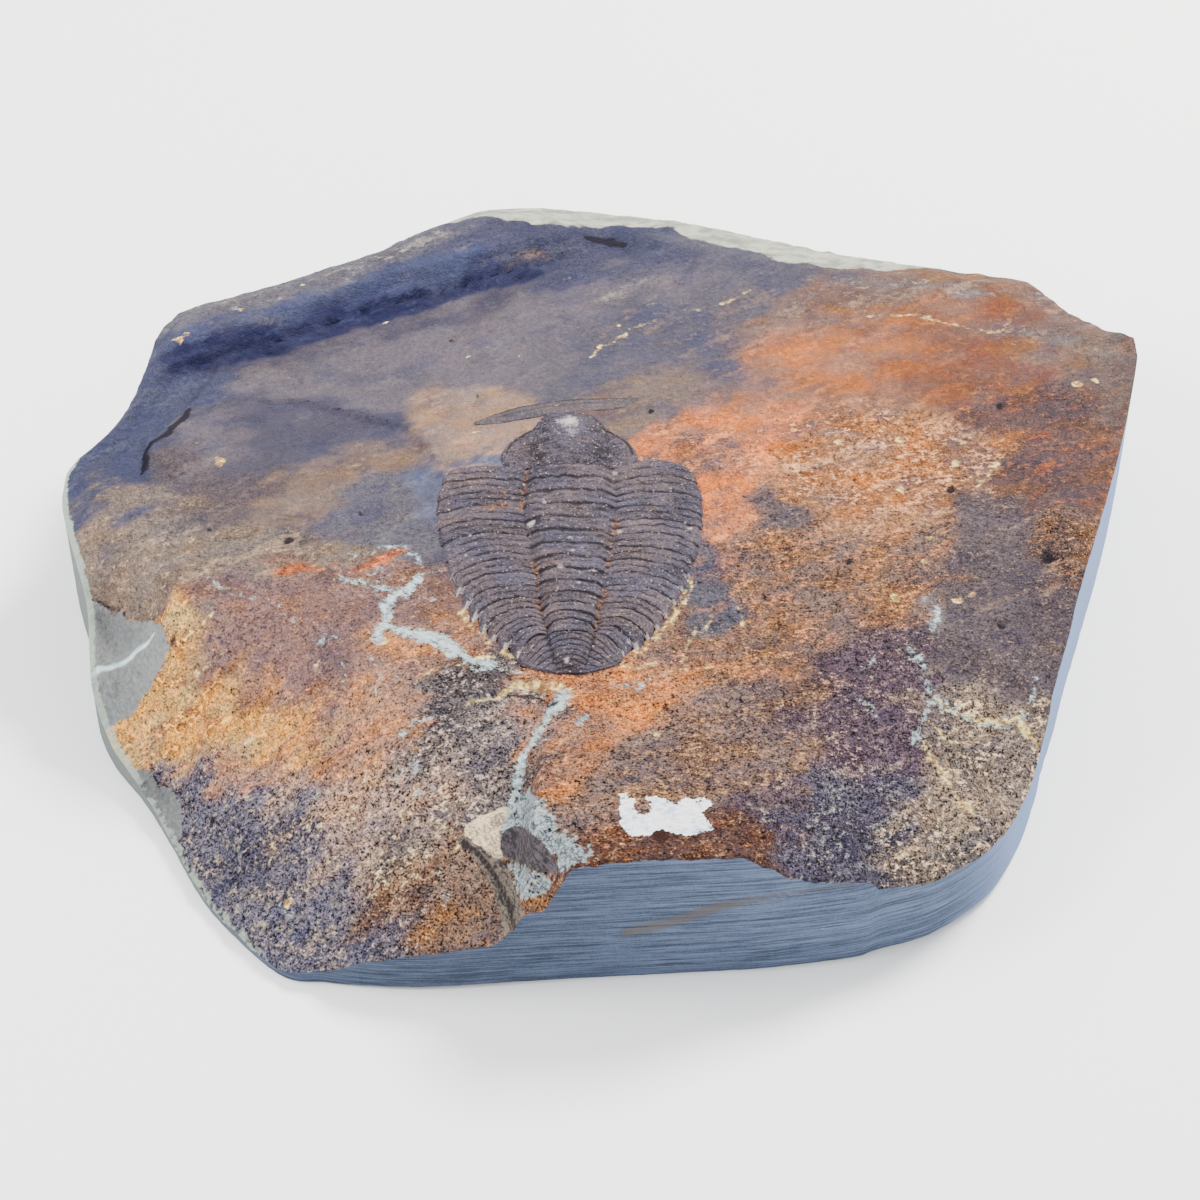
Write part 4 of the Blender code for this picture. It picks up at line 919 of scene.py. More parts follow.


# tones of the stone's marks, as the eye sees them, some of them painted light: the hole and crack tones are
# painted shade, the chip ridge's tone a painted highlight and sawnLit painted light; a fourth number is the
# light on a wall against the top's
shaleTones = {label: tint(*tone) for label, tone in {
    "gold": (220, 185, 135), "slaty": (80, 85, 115), "hole": (65, 50, 60), "glint": (230, 220, 205),
    "veinShade": (140, 145, 150), "veinPale": (220, 225, 225), "creamShade": (205, 175, 140),
    "creamPale": (235, 230, 210), "crack": (40, 35, 50), "crystalShade": (110, 125, 140),
    "crystalPale": (208, 213, 213), "lensShade": (195, 185, 175), "lensPale": (230, 225, 215),
    "barkShade": (105, 100, 105), "barkPale": (190, 180, 170), "seam": (60, 50, 60),
    "leafShade": (105, 100, 105), "leafPale": (165, 155, 160), "freshShade": (150, 155, 155),
    "freshPale": (190, 190, 190), "ridgeHighlight": (225, 230, 230), "limeShade": (190, 190, 185),
    "limePale": (215, 215, 210), "sawnShade": (70, 85, 105, 0.6), "sawnPale": (140, 155, 175, 0.6),
    "sawnBrown": (140, 130, 120, 0.55), "scratch": (175, 190, 205, 0.55), "sawnLeft": (165, 170, 165, 0.7),
    "sawnLit": (185, 200, 215, 0.8), "wornEdge": (205, 210, 205, 0.8), "oldStain": (85, 40, 30),
    "paintShade": (220, 225, 230), "paintPale": (246, 247, 248),
}.items()}
# thin glazes that multiply the three colours, and the brightest that a lit grain may be
shaleGlazes = {"rusty": (1.3, 1.0, 0.5), "mauve": (0.9, 1.12, 1.4), "dusky": (0.6, 0.66, 0.86),
               "pale": (1.35, 1.28, 1.05), "brightest": (0.72, 0.68, 0.62)}
# each noise of the stone: size in millimetres, detail, turn, stretch, where it is taken from, roughness
shaleNoises = {
    "cloudy": (4.2, 4, 24, 1.9, 520, 0.65), "bands": (3.0, 4, 32, 3.0, 700, 0.65),
    "patchy": (2.4, 5, 20, 1.5, 40, 0.65), "threads": (1.5, 4, 15, 1.6, 360, 0.6),
    "chaff": (1.0, 3, 30, 1.6, 600, 0.6), "fine": (0.85, 3, 0, 1, 80, 0.6),
    "sparse": (0.6, 2, 0, 1, 240, 0.6), "rising": (0.55, 4, 30, 3.5, 160, 0.7),
    "level": (0.5, 4, 4, 2.6, 200, 0.7), "fibre": (0.45, 4, -28, 2.2, 440, 0.75),
    "strip": (0.45, 4, -62, 5, 280, 0.7), "tiny": (0.3, 2, 0, 1, 120, 0.6),
}
sawCuts = {"squeeze": (0.07, 0.07, 2.6), "detail": 6.0, "roughness": 0.8}  # long and level, close in height


class Shale(Finish):  # the slab's stone: its noises and marks, and a method for each layer of its look
    def __init__(self):
        super().__init__("rusty_shale", 0.75)
        for label, numbers in shaleNoises.items():
            setattr(self, label, self.swing(*numbers))
        self.mottleShare, self.fleckShare, self.grit = self.marks("shares")
        self.blue, self.cream, self.dark = self.marks("veins")
        self.fresh, self.lime, self.paint = self.marks("faces")
        self.leaf, self.crystal, self.bark = self.marks("front")
        self.lens, self.seam, self.oldStain = self.marks("seams")
        self.lean, self.warm, self.brighter = self.marks("lie")
        self.clouds, self.gloom, self.drift = self.marks("glaze")
        self.wall, self.brown, self.worn = self.marks("sides")
        self.flow = self.rising + self.lean * (self.level - self.rising)
        squeezed = self.vector("MULTIPLY", self.place, sawCuts["squeeze"])
        self.cuts = self.node("ShaderNodeTexNoise", {}, {
            "Vector": squeezed, "Scale": 1.0, "Detail": sawCuts["detail"], "Roughness": sawCuts["roughness"]})

    def glazed(self, colour, share, glaze):  # the colour multiplied by a glaze's three factors, by a share
        return self.mix(share, colour, self.vector("MULTIPLY", colour, shaleGlazes[glaze]))

    def laid(self, colour, share, tone):  # a tone laid over a colour by a share
        return self.mix(share, colour, shaleTones[tone])

    def between(self, share, shade, pale):
        return self.mix(share, shaleTones[shade], shaleTones[pale])

    def bedding(self):  # the stains' grounds with mottling, glazes, bands and specks of gold and slate
        patchy, cloudy, fine, tiny, flow = self.patchy, self.cloudy, self.fine, self.tiny, self.flow
        threads, grit, warm = self.threads, self.grit, self.warm
        darker = patchy * 0.8 + self.drift * 0.5 + cloudy * 0.4 + (fine * 0.5 + flow * 0.4) * grit
        darker = (darker + self.mottleShare - 0.5).above(-0.25, 0.2)
        colour = self.mix(darker, self.colour("ground"), self.colour("mottle"))
        hue = self.clouds + patchy * 0.6 + fine * 0.35 + self.rising * 0.35
        colour = self.glazed(colour, hue.above(-0.05, 0.35) * (warm * 0.85 + 0.1), "rusty")
        colour = self.glazed(colour, (hue * -1.0).above(0.05, 0.4) * (warm * 0.7 + 0.05), "mauve")
        dusk = (self.gloom + patchy * 0.5 + cloudy * 0.4 + flow * 0.3).above(0.02, 0.45)
        colour = self.glazed(colour, dusk * (0.5 + 0.3 * grit), "dusky")
        bloom = (threads * 0.8 + fine * 0.4).above(0.05, 0.35)
        colour = self.glazed(colour, bloom * (warm * 0.6 + 0.1), "pale")
        flecks = flow * 0.6 + fine * 0.4 + patchy * 0.35 + self.fleckShare + grit * 0.1
        flecks = (flecks - 0.5).above(0.02, 0.2) * (0.4 + self.cluster() * 0.6) * (0.4 + 0.5 * grit)
        colour = self.mix(flecks, colour, self.colour("fleck"))
        bands = (self.bands + fine * 0.25 + self.gloom * 0.3).above(0.08, 0.5)
        colour = self.mix(bands * (0.6 - grit * 0.2), colour, self.colour("fleck"))
        gold = (self.level * 0.6 + threads * 0.5 + tiny * 0.2).above(0.18, 0.36) * warm * (grit * 0.8 + 0.15)
        colour = self.laid(colour, gold * 0.65, "gold")
        slaty = (self.rising * 0.5 + self.sparse * 0.5 - threads * 0.3).above(0.12, 0.32) * grit
        return self.laid(colour, slaty * (0.75 - warm * 0.6), "slaty")

    def cluster(self):  # where pale grains gather
        return (self.patchy * 0.7 + self.clouds * 0.7 + self.cloudy * 0.5).above(-0.3, 0.35)

    def grainy(self, colour):  # light and dark grains, small holes darkened with painted shade, threads, glints and chaff
        patchy, fine, tiny, flow, grit = self.patchy, self.fine, self.tiny, self.flow, self.grit
        grains = (fine * 1.5 + tiny * 2.5 + flow * 0.8) * (grit * 0.95 + 0.08)
        colour = self.scaled(colour, 1.06 + patchy * 0.3 + self.cloudy * 0.32 + grains)
        colour = self.vector("MINIMUM", colour, shaleGlazes["brightest"])
        # painted shade: small dark spots standing for shaded holes
        holes = (self.sparse * 0.6 + tiny * 0.6 - flow * 0.25).above(0.2, 0.36) * grit
        colour = self.laid(colour, holes * (0.85 - self.warm * 0.25), "hole")
        thread = (1.0 - self.threads * self.threads * 260.0 + tiny * 0.8).above(0.3, 0.9)
        thread = thread * patchy.above(0.0, 0.4) * 0.5 * (grit + 0.25)
        colour = self.mix(thread, colour, self.colour("fleck"))
        glint = (tiny * 0.8 + fine * 0.3 - self.sparse * 0.2).above(0.3, 0.42) * grit.above(0.2, 0.8)
        colour = self.laid(colour, glint * self.cluster() * 0.75, "glint")
        chaff = (self.chaff + fine * 0.3).above(0.44, 0.54) * grit.above(0.15, 0.7)
        return self.mix(chaff * 0.7, colour, self.colour("fleck"))

    def veined(self, colour):  # blue-grey veins with a firm core and feathery sides, cream veins and the chip ridge's painted highlight, and painted shade in cracks and pits
        patchy, fine, fibre, blue = self.patchy, self.fine, self.fibre, self.blue
        core = (blue + fine * 0.2 + patchy * 0.22 + self.tiny * 0.2).above(0.54, 0.68)
        feather = (blue + fibre * 0.5 + patchy * 0.45 + fine * 0.4).above(0.44, 0.85)
        veinPale = (fibre * 0.8 + blue * 0.9 + fine * 0.3).above(0.15, 1.0)
        veinTone = self.between(veinPale, "veinShade", "veinPale")
        colour = self.mix((core * 0.55 + feather * 0.5).above(0.0, 1.0) * 0.9, colour, veinTone)
        creamTone = self.between((fine + self.flow * 0.5).above(-0.3, 0.4), "creamShade", "creamPale")
        cream = (self.cream + fibre * 0.2 + self.flow * 0.2 + patchy * 0.3).above(0.44, 0.72)
        colour = self.mix(cream * 0.85, colour, creamTone)
        # painted shade in the cracks and pits
        return self.laid(colour, (self.dark + fine * 0.3).above(0.42, 0.75) * 0.92, "crack")

    def brokenFront(self, colour):  # crystals, the tan lens, bark with its seam, and the dark leaf on top
        patchy, fine, tiny, strip = self.patchy, self.fine, self.tiny, self.strip
        crystalTone = self.between((fine * 0.6 + tiny * 0.6 + self.fibre * 0.3).above(-0.35, 0.3),
                                   "crystalShade", "crystalPale")
        crystal = (self.crystal * 0.9 + patchy * 0.6 + fine * 0.5).above(0.42, 0.7)
        colour = self.mix(crystal * 0.9, colour, crystalTone)
        lensTone = self.between((patchy + strip * 0.6 + tiny * 0.4).above(-0.4, 0.3), "lensShade", "lensPale")
        colour = self.mix((self.lens + fine * 0.25).above(0.4, 0.6), colour, lensTone)
        barkTone = self.between((strip + tiny * 0.4).above(-0.3, 0.25), "barkShade", "barkPale")
        colour = self.mix((self.bark + fine * 0.3).above(0.42, 0.58), colour, barkTone)
        colour = self.laid(colour, (self.seam + strip * 0.5).above(0.4, 0.7) * 0.85, "seam")
        leafTone = self.between((strip + tiny * 0.4 + fine * 0.3).above(-0.25, 0.35), "leafShade", "leafPale")
        return self.mix((self.leaf + fine * 0.25).above(0.42, 0.55), colour, leafTone)

    def chipped(self, colour):  # the fresh grey faces at the left with a painted highlight along the ridge between them, and the far limy face
        patchy, fine = self.patchy, self.fine
        freshTone = self.between((self.drift * 0.5 + self.strip * 0.3 + fine * 0.3).above(-0.4, 0.4),
                                 "freshShade", "freshPale")
        colour = self.mix((self.fresh + fine * 0.2 + patchy * 0.2).above(0.45, 0.55), colour, freshTone)
        # painted highlight on the ridge between the chips
        colour = self.laid(colour, (self.cream * self.fresh).above(0.35, 0.7) * 0.7, "ridgeHighlight")
        limeTone = self.between(patchy.above(-0.4, 0.4), "limeShade", "limePale")
        return self.mix((self.lime + patchy * 0.35).above(0.42, 0.62), colour, limeTone)

    def sawn(self):  # the sawn walls: level scratches, painted light that makes them brighter to the right, paler on the left wall
        x, y = self.place.part(0), self.place.part(1)
        cuts = self.cuts
        scratched = (cuts + self.tiny * 0.06 + self.patchy * 0.05).above(0.35, 0.65)
        tone = self.between(scratched, "sawnShade", "sawnPale")
        # painted light: brighter towards the right, where the key lamp falls
        tone = self.scaled(tone, 0.92 + x.above(-35, 45) * 0.58)
        tone = self.laid(tone, (self.brown + (cuts - 0.5) * 1.6).above(0.5, 0.9) * 0.7, "sawnBrown")
        tone = self.laid(tone, (self.sparse * 0.5 + cuts).above(0.82, 0.9) * 0.6, "scratch")
        tone = self.laid(tone, (x * -1.0).above(42, 64) * 0.8, "sawnLeft")
        # painted light on the right part of the front wall
        return self.laid(tone, x.above(34, 56) * y.above(-66, -50) * 0.75, "sawnLit")

    def finished(self):
        patchy, fine, tiny, wall = self.patchy, self.fine, self.tiny, self.wall
        colour = self.chipped(self.brokenFront(self.veined(self.grainy(self.bedding()))))
        # painted light that evens out the lamps' shading of the slopes
        colour = self.scaled(colour, self.brighter)
        colour = self.mix((wall + fine * 0.2).above(0.35, 0.6), colour, self.sawn())
        worn = (self.worn + fine * 0.4 + patchy * 0.3).above(0.5, 0.75)
        colour = self.laid(colour, worn * 0.75, "wornEdge")
        colour = self.laid(colour, (self.oldStain + fine * 0.4).above(0.45, 0.65) * 0.9, "oldStain")
        paint = (self.paint + fine * 0.5 + tiny * 0.25 + patchy * 0.25).above(0.48, 0.56)
        paintTone = self.between((patchy + fine).above(-0.5, 0.2), "paintShade", "paintPale")
        self.use("Base Color", self.mix(paint, colour, paintTone))
        self.use("Roughness", 0.74 + patchy * 0.12)
        relief = (fine * 0.5 + tiny * 0.4 + self.flow * 0.5) * (self.grit * 0.9 + 0.1) + patchy * 0.35
        relief = relief * (1 - wall * 0.85) + wall * self.cuts * 0.6
        relief = relief + (self.leaf + self.bark) * (1 - wall) * self.strip * 0.8 + paint * 0.2
        self.bump(relief, 0.6)
        return self.material


def sideMarks(vertices, onWall):
    # the sawn wall, the brownish streak across its front, and the pale worn edge round the left and far rims:
    # the streak is e^-(gap / width)^2 round its line, and the edge fades from the rim both ways
    x, y, z = vertices.T
    gap = lineDistance(x, z, brownStreak)
    brown = hill(gap, 0, 0.7 + 0.9 * smoothStep(24, 12, x)) * (y < -60)
    around = insideDistance(x, y, rounded([corner[:2] for corner in rim], 3))
    edge = smoothStep(1.8, 0.3, around) * (1 - onWall) + onWall * smoothStep(8, 0, slab["top"] - z)
    left = smoothStep(-66, -72, x) * smoothStep(14, 8, y)
    lowLeft = smoothStep(-40, -50, x) * (y < -30) * 0.7
    return np.stack([onWall * 1.0, brown * onWall, np.clip(edge * (left + lowLeft), 0, 1)], -1)


def makeSlab():
    radius, angle = squareToDisc(slab["cells"])
    reach, edge = edgeAt(rounded(rim, 6), angle)
    x, y = radius * reach * np.cos(angle), radius * reach * np.sin(angle)
    inward = (1 - radius) * reach
    height = slabHeight(x, y, inward, edge[..., 0], edge[..., 1])
    under = insideDistance(x, y, shellOutline())
    height = height - slab["bedDepth"] * smoothStep(0.5, 1.8, under)
    nick = smoothStep(0.9, 0.0, inward) * (0.35 + 0.5 * roughness(x, y, 3, 141))
    height = height - np.clip(nick, 0, slab["nickDepth"])
    points = np.stack([x, y, height], -1)

    def sawMarks(ring, down):  # shallow level grooves, and a worn lower edge
        around = np.arctan2(ring[:, 1], ring[:, 0])
        depth = slab["sawDepth"] * (0.5 + 0.5 * grain(around * 40, ring[:, 2] * 2.2, 1.0, 151))
        depth = depth + slab["wornFoot"] * smoothStep(0.88, 1.0, down)
        ring[:, :2] *= (1 - depth / np.hypot(ring[:, 0], ring[:, 1]))[:, None]
        return ring

    ground, mottle, fleck, shares = stainLayers(x, y)
    # painted light: the colour is raised where a slope gets less light than the level top and lowered where
    # it gets more, which evens out its shading
    brighter = np.clip(1 / lightShare(points, slab["lightReach"]), 0.85, 1.7)
    marks = slabMarks(x, y, height, ground, shares, brighter)
    piece = solidFromGrid("matrix_slab_stone", points, 0, slab["wallRows"], sawMarks, marks,
                          {"ground": ground, "mottle": mottle, "fleck": fleck}, sideMarks)
    finishPiece(piece, Shale().finished(), "matrix_slab", slab["sharpAngle"])


makeSlab()
print("slab made")


# the thorax

# heights in millimetres; wander is how far the segments' lines stray, in segments
thorax = {
    "rowsPerSegment": 24, "columns": 250, "step": 0.07, "rimDrop": 0.5, "lumps": 0.16, "fineLumps": 0.07,
    "scales": 0.08, "arch": 0.15, "archBehind": 0.8, "notch": 0.01, "notchBehind": 0.045, "wander": 0.17,
    "fineWander": 0.08,
}
# how deep each kind of groove is, and how dark it looks; the darkness is painted shade in the groove
thoraxGrooves = {
    "line": (0.13, 1.15), "furrow": (0.1, 1.0), "beside": (0.16, 0.3), "blot": (0.08, 0.8),
    "knots": (0.08, 0.7),
}
rustPatches = [(1.0, -17, -3.2, 3, 0.8), (0.7, -16, 0, 2, 0.6)]  # strength, x, y, half length, half width


def lobeRelief(out, share):
    # a low vault over the middle lobe, sqrt(1 - (out / share)^2), and side lobes that rise from its foot and
    # fall to the rim by 1 - flank^2.2
    middle = np.sqrt(np.clip(1 - (out / share) ** 2, 0, 1))
    flank = np.clip((out - share) / (1 - share), 0, 1)
    beside = (1 - flank**2.2) * smoothStep(share * 0.7, share * 1.4, out)
    side = np.where(out < share, smoothStep(share * 1.02, share * 0.7, out), beside)
    return animal["axialRise"] * middle + animal["sideRise"] * side


def carved(grooves, table):  # the sums over all grooves of depth times groove and of darkness times groove
    return [sum(table[label][column] * groove for label, groove in grooves.items()) for column in (0, 1)]


def thoraxGrid():
    # rows run from the first segment's front to the last one's end; s counts segments, number is the one that
    # a point lies in, place is 0 to 1 within it, side is -1 to 1 across, and share is the middle lobe's part
    # of the width
    count = animal["segments"] * thorax["rowsPerSegment"]
    s, across = np.meshgrid(np.linspace(0.0, animal["segments"], count),
                            np.linspace(-1, 1, thorax["columns"] + 1), indexing="ij")
    side = np.sin(across * math.pi / 2)
    wander = thorax["wander"] * roughness(side * 11, s * 1.3, 3.2, 201, 4) + thorax["fineWander"] * (
        roughness(side * 26, s * 3, 3.0, 203, 3))
    turns = s + wander * smoothStep(0, 0.5, s) * smoothStep(14, 13.5, s)
    place, number = turns % 1.0, np.floor(turns)
    notch = thorax["notch"] + thorax["notchBehind"] * smoothStep(4, 12, number)
    x, y = thoraxPlace(s, side * (1 - notch * smoothStep(0.75, 0.0, place) ** 1.4))
    share = along(lobeWidths, segmentY(s)) / along(flankWidths, segmentY(s) - 4)
    arch = thorax["arch"] + thorax["archBehind"] * smoothStep(6, 13, s)
    inLobe = 1 - smoothStep(0, share * 1.15, np.abs(side))
    y = y + arch * inLobe * smoothStep(0, 1, s) * smoothStep(14, 13.2, s)
    return s, side, place, number, share, x, y


def cutThorax(s, side, place, number, share, x, y):
    # the lines between segments, the furrow along each one, the two furrows beside the middle lobe, and
    # blots and knots on it
    out = np.abs(side)
    axial = smoothStep(share * 1.05, share * 0.9, out)
    line = hill(np.minimum(place, 1 - place), 0, 0.05 + 0.035 * axial)
    furrow = hill(place, 0.48 + 0.06 * grain(side * 14, s, 1.3, 207), 0.06)
    furrow = furrow * smoothStep(1.0, 0.9, out) * (1 - 0.65 * axial)
    return {
        "line": line * np.clip(0.75 + 1.2 * roughness(x, y, 5, 205), 0.1, 1.4),
        "furrow": furrow * np.clip(0.6 + 1.1 * roughness(x, y, 4, 208), 0, 1.2),
        "beside": hill(out - share - 0.03 * grain(s, side, 1.5, 209), 0, 0.04),
        "blot": axial * hill(place, 0.1, 0.13) * (
            np.clip(0.35 + 1.7 * grain(side * 16, number * 3.7, 1.9, 206), 0, 1)),
        "knots": mound(out / share, place, 0.7, 0.36, 0.17, 0.2) * (
            np.clip(0.3 + 1.5 * grain(side * 12, number * 2.9, 1.7, 212), 0, 1)),
    }


def makeThorax():
    # each segment is two low ridges, 1 - (2 half - 1)^2, where half goes 0 to 1 over each half of it, and it
    # rises towards its rear edge
    s, side, place, number, share, x, y = thoraxGrid()
    grooves = cutThorax(s, side, place, number, share, x, y)
    depth, dark = carved(grooves, thoraxGrooves)
    out = np.abs(side)
    half = (place * 2) % 1.0
    rise = 1 - (2 * half - 1) ** 2 + 0.6 * place * smoothStep(1.0, 0.95, place)
    rise = rise * (1 + 0.5 * smoothStep(share * 1.05, share * 0.9, out))
    z = animal["crest"] + lobeRelief(out, share) + thorax["step"] * rise - depth
    z = z - thorax["rimDrop"] * smoothStep(0.95, 1.0, out) ** 2 + thorax["lumps"] * roughness(x, y, 6, 211)
    z = z + thorax["fineLumps"] * grain(x, y, 0.9, 221) + thorax["scales"] * (
        ridges(*turned(x, y, 5, 3), 1.4, 223))

    # what is only colour: sediment in the furrows, pale tips behind, a painted highlight along the crests,
    # and broad bands
    dusty = 0.5 + 1.0 * roughness(x, y, 5, 225) + 0.3 * smoothStep(4, 12, number)
    sediment = np.clip(grooves["beside"] * dusty, 0, 1)
    for strength, *spot in rustPatches:
        sediment = sediment + strength * mound(x, y, *spot)
    nearLine = smoothStep(0.28, 0.05, np.minimum(place, 1 - place))
    tips = smoothStep(0.93, 0.985, out) * nearLine * smoothStep(4, 9, s)
    # painted highlight along each ridge's crest
    crest = hill(half, 0.5, 0.22) * np.clip(0.5 + roughness(x, y, 3, 213), 0, 1.2)
    band = 0.55 * grain(side * 2.5, number * 2.3, 2.0, 215) + 0.85 * roughness(x, y, 6, 217)
    marks = shellMarks(dark, sediment, np.maximum(shellSpots(x, y), 0.9 * tips), 0.6 * crest + band,
                       roughness(x, y, 7, 219))
    piece = solidFromGrid("thorax_plates", np.stack([x, y, z], -1), animal["floor"], 1, marks=marks)
    finishPiece(piece, shellMaterial, "thorax")


# pale worn spots and chips: x, y, radius
spots = [
    (-11.6, -7, 0.6), (-5.9, -10.6, 0.3), (-5.5, -13.2, 0.3), (-7.2, -16.5, 0.4), (1.2, -8.4, 0.4),
    (11.4, -7.6, 0.35), (-20.4, -9, 0.25), (-18.5, -9, 0.2), (-9.8, -3, 0.3), (-20.8, -13.2, 0.2),
    (-2.5, -17, 0.3), (-6.2, -34.2, 0.35), (2.4, -30.4, 0.25), (-4.6, -19.6, 0.3), (0.6, 4.2, 0.3),
]


def shellSpots(x, y):
    return np.max([ramp(radius - np.hypot(x - atX, y - atY), 0.5) for atX, atY, radius in spots], axis=0)


def shellMarks(groove, sediment, spot, bright, chill):
    # how much painted shade in a groove, how much rusty sediment and how pale a spot, 0 to 1; how bright and
    # how cool, about 0
    return {"plate": np.stack([np.clip(groove, 0, 1), np.clip(sediment, 0, 1), spot], -1),
            "tone": np.stack([bright, chill, np.zeros(groove.shape)], -1)}


# tones of the shell's marks, as the eye sees them; the groove tone is painted shade
shellTones = {label: tint(*tone) for label, tone in {
    "sedimentShade": (140, 105, 90), "sedimentPale": (195, 155, 125), "groove": (60, 50, 60),
    "stroke": (160, 145, 150), "speck": (210, 200, 190), "spot": (215, 210, 210),
}.items()}


def shellFinish(name, base, cool, warm, grained=1.0):
    shell = Finish(name, 0.6)
    groove, sediment, spot = shell.marks("plate")
    bright, chill, _ = shell.marks("tone")
    patchy, fine = shell.swing(1.3, 4, 5, 2.5, 40), shell.swing(0.6, 3, push=60)
    tiny, strokes = shell.swing(0.28, 2, push=90), shell.swing(0.4, 3, 2, 3.5, 130)
    colour = shell.mix((chill + patchy * 0.5).above(-0.2, 0.35), tint(*base), tint(*cool))
    colour = shell.mix((patchy * 0.8 - chill * 0.4).above(0.05, 0.5) * 0.8, colour, tint(*warm))
    colour = shell.scaled(colour, 1.0 + bright * 0.5 + (strokes * 0.7 + fine * 0.6 + tiny * 1.2) * grained)
    sandy = shell.mix(fine.above(-0.2, 0.3), shellTones["sedimentShade"], shellTones["sedimentPale"])
    colour = shell.mix((sediment + fine * 0.5 + patchy * 0.5).above(0.4, 0.85) * 0.75, colour, sandy)
    # painted shade in the grooves
    dark = (groove + strokes * 0.45 + patchy * 0.35).above(0.2, 0.7) * 0.85
    colour = shell.mix(dark, colour, shellTones["groove"])
    colour = shell.mix((strokes * 0.6 + fine * 0.5).above(0.2, 0.42) * 0.45, colour, shellTones["stroke"])
    specks = (tiny * 0.6 + fine * 0.6).above(0.3, 0.4) * (0.8 * grained)
    colour = shell.mix(specks, colour, shellTones["speck"])
    pale = (spot + fine * 0.35 + tiny * 0.25).above(0.25, 0.95) * 0.9
    colour = shell.mix(pale, colour, shellTones["spot"])
    shell.use("Base Color", colour)
    shell.use("Roughness", 0.6 + fine * 0.2)
    shell.bump(fine * 0.5 + tiny * 0.4 + strokes * 0.5, 0.16)
    return shell.material


shellMaterial = shellFinish("brown_shell", (133, 119, 128), (120, 113, 130), (150, 130, 128))
borderMaterial = shellFinish("border_shell", (142, 129, 133), (130, 122, 133), (160, 144, 138), 0.6)
makeThorax()
print("thorax made")


# the head's middle shield and the tail shield

def mirrored(half):
    right = [(midline(y) + out, y) for out, y in half]
    left = [(midline(y) - out, y) for out, y in half if out > 0]
    ring = np.array(right + left[::-1], float)
    area = np.sum(ring[:, 0] * np.roll(ring[:, 1], -1) - np.roll(ring[:, 0], -1) * ring[:, 1])
    return ring if area > 0 else ring[::-1]


def plateGrid(outline, cells):  # x, y and distance from the middle, 0 to 1, of a grid that fills an outline
    outline = rounded(outline, 5)
    centre = (outline.max(axis=0) + outline.min(axis=0)) / 2
    radius, angle = squareToDisc(cells)
    reach, _ = edgeAt(outline - centre, angle)
    return centre[0] + radius * reach * np.cos(angle), centre[1] + radius * reach * np.sin(angle), radius


head = {
    "cells": 190, "lobeHalf": 5.2, "rise": 0.85, "lobeMiddle": 11.6, "lobeLength": 5.9,
    "cutPlaces": (7.6, 10.4, 12.9), "rimDrop": 0.7, "lumps": 0.16, "whiteSpot": (-6.3, 14.9),
    "palerSpot": (-5.8, 12.6), "halo": (-6, 14),
}
# how deep each kind of groove is, and how dark it looks; the darkness is painted shade in the groove, and
# darkDent is such shade with no dent under it
headGrooves = {
    "cuts": (0.14, 0.65), "dents": (0.1, 0.8), "darkDent": (0, 0.8), "collar": (0.12, 0.7),
    "trench": (0.14, 0.4), "arcs": (0.12, 0.9),
}
# small dents beside the midline: depth, x from the midline, y, half length
headDents = [(0.9, -4.2, 7.4, 1.0), (0.6, 2.4, 9.9, 0.9), (0.5, -1.0, 8.4, 1.7), (0.5, -3.0, 11.6, 0.9)]
tail = {"cells": 130, "rings": 0.95, "ribs": 1.3, "step": 0.08, "lumps": 0.14}
# how deep each groove is and how dark it looks; the darkness of line and furrow is painted shade, and end
# only darkens the lobe's rear end
tailGrooves = {"line": (0.1, 0.9), "furrow": (0.1, 0.5), "end": (0, 0.5)}


def cutHead(x, y, radius, signed, half):
    # three slanting cuts on each flank, a few dents, a collar behind, a trench round the dome and two arcs
    # along the cheeks' rim
    out = np.abs(signed)
    cuts = sum(hill(y - at - 0.3 * (half - out), 0, 0.4) for at in head["cutPlaces"])
    collar = hill(y + 0.035 * out**2, 6.5, 0.25) * (out < half + 1)
    rimArc = smoothStep(7.5, 9, y) * smoothStep(4.4, 5.6, out) * smoothStep(16, 14.8, y)
    return {
        "cuts": cuts * hill(out, half - 0.9, 1.1) * smoothStep(half + 0.2, half - 0.6, out),
        "dents": sum(depth * mound(signed, y, atX, atY, wide, 0.6) for depth, atX, atY, wide in headDents),
        "darkDent": mound(signed, y, 4.6, 9.0, 0.9, 0.6),
        "collar": collar * np.clip(0.6 + roughness(x, y, 3, 235), 0, 1),
        "trench": hill(out, half + 0.5, 0.45) * smoothStep(15.5, 12, y),
        "arcs": (hill(radius, 0.9, 0.03) + 0.7 * hill(radius, 0.97, 0.02)) * rimArc,
    }


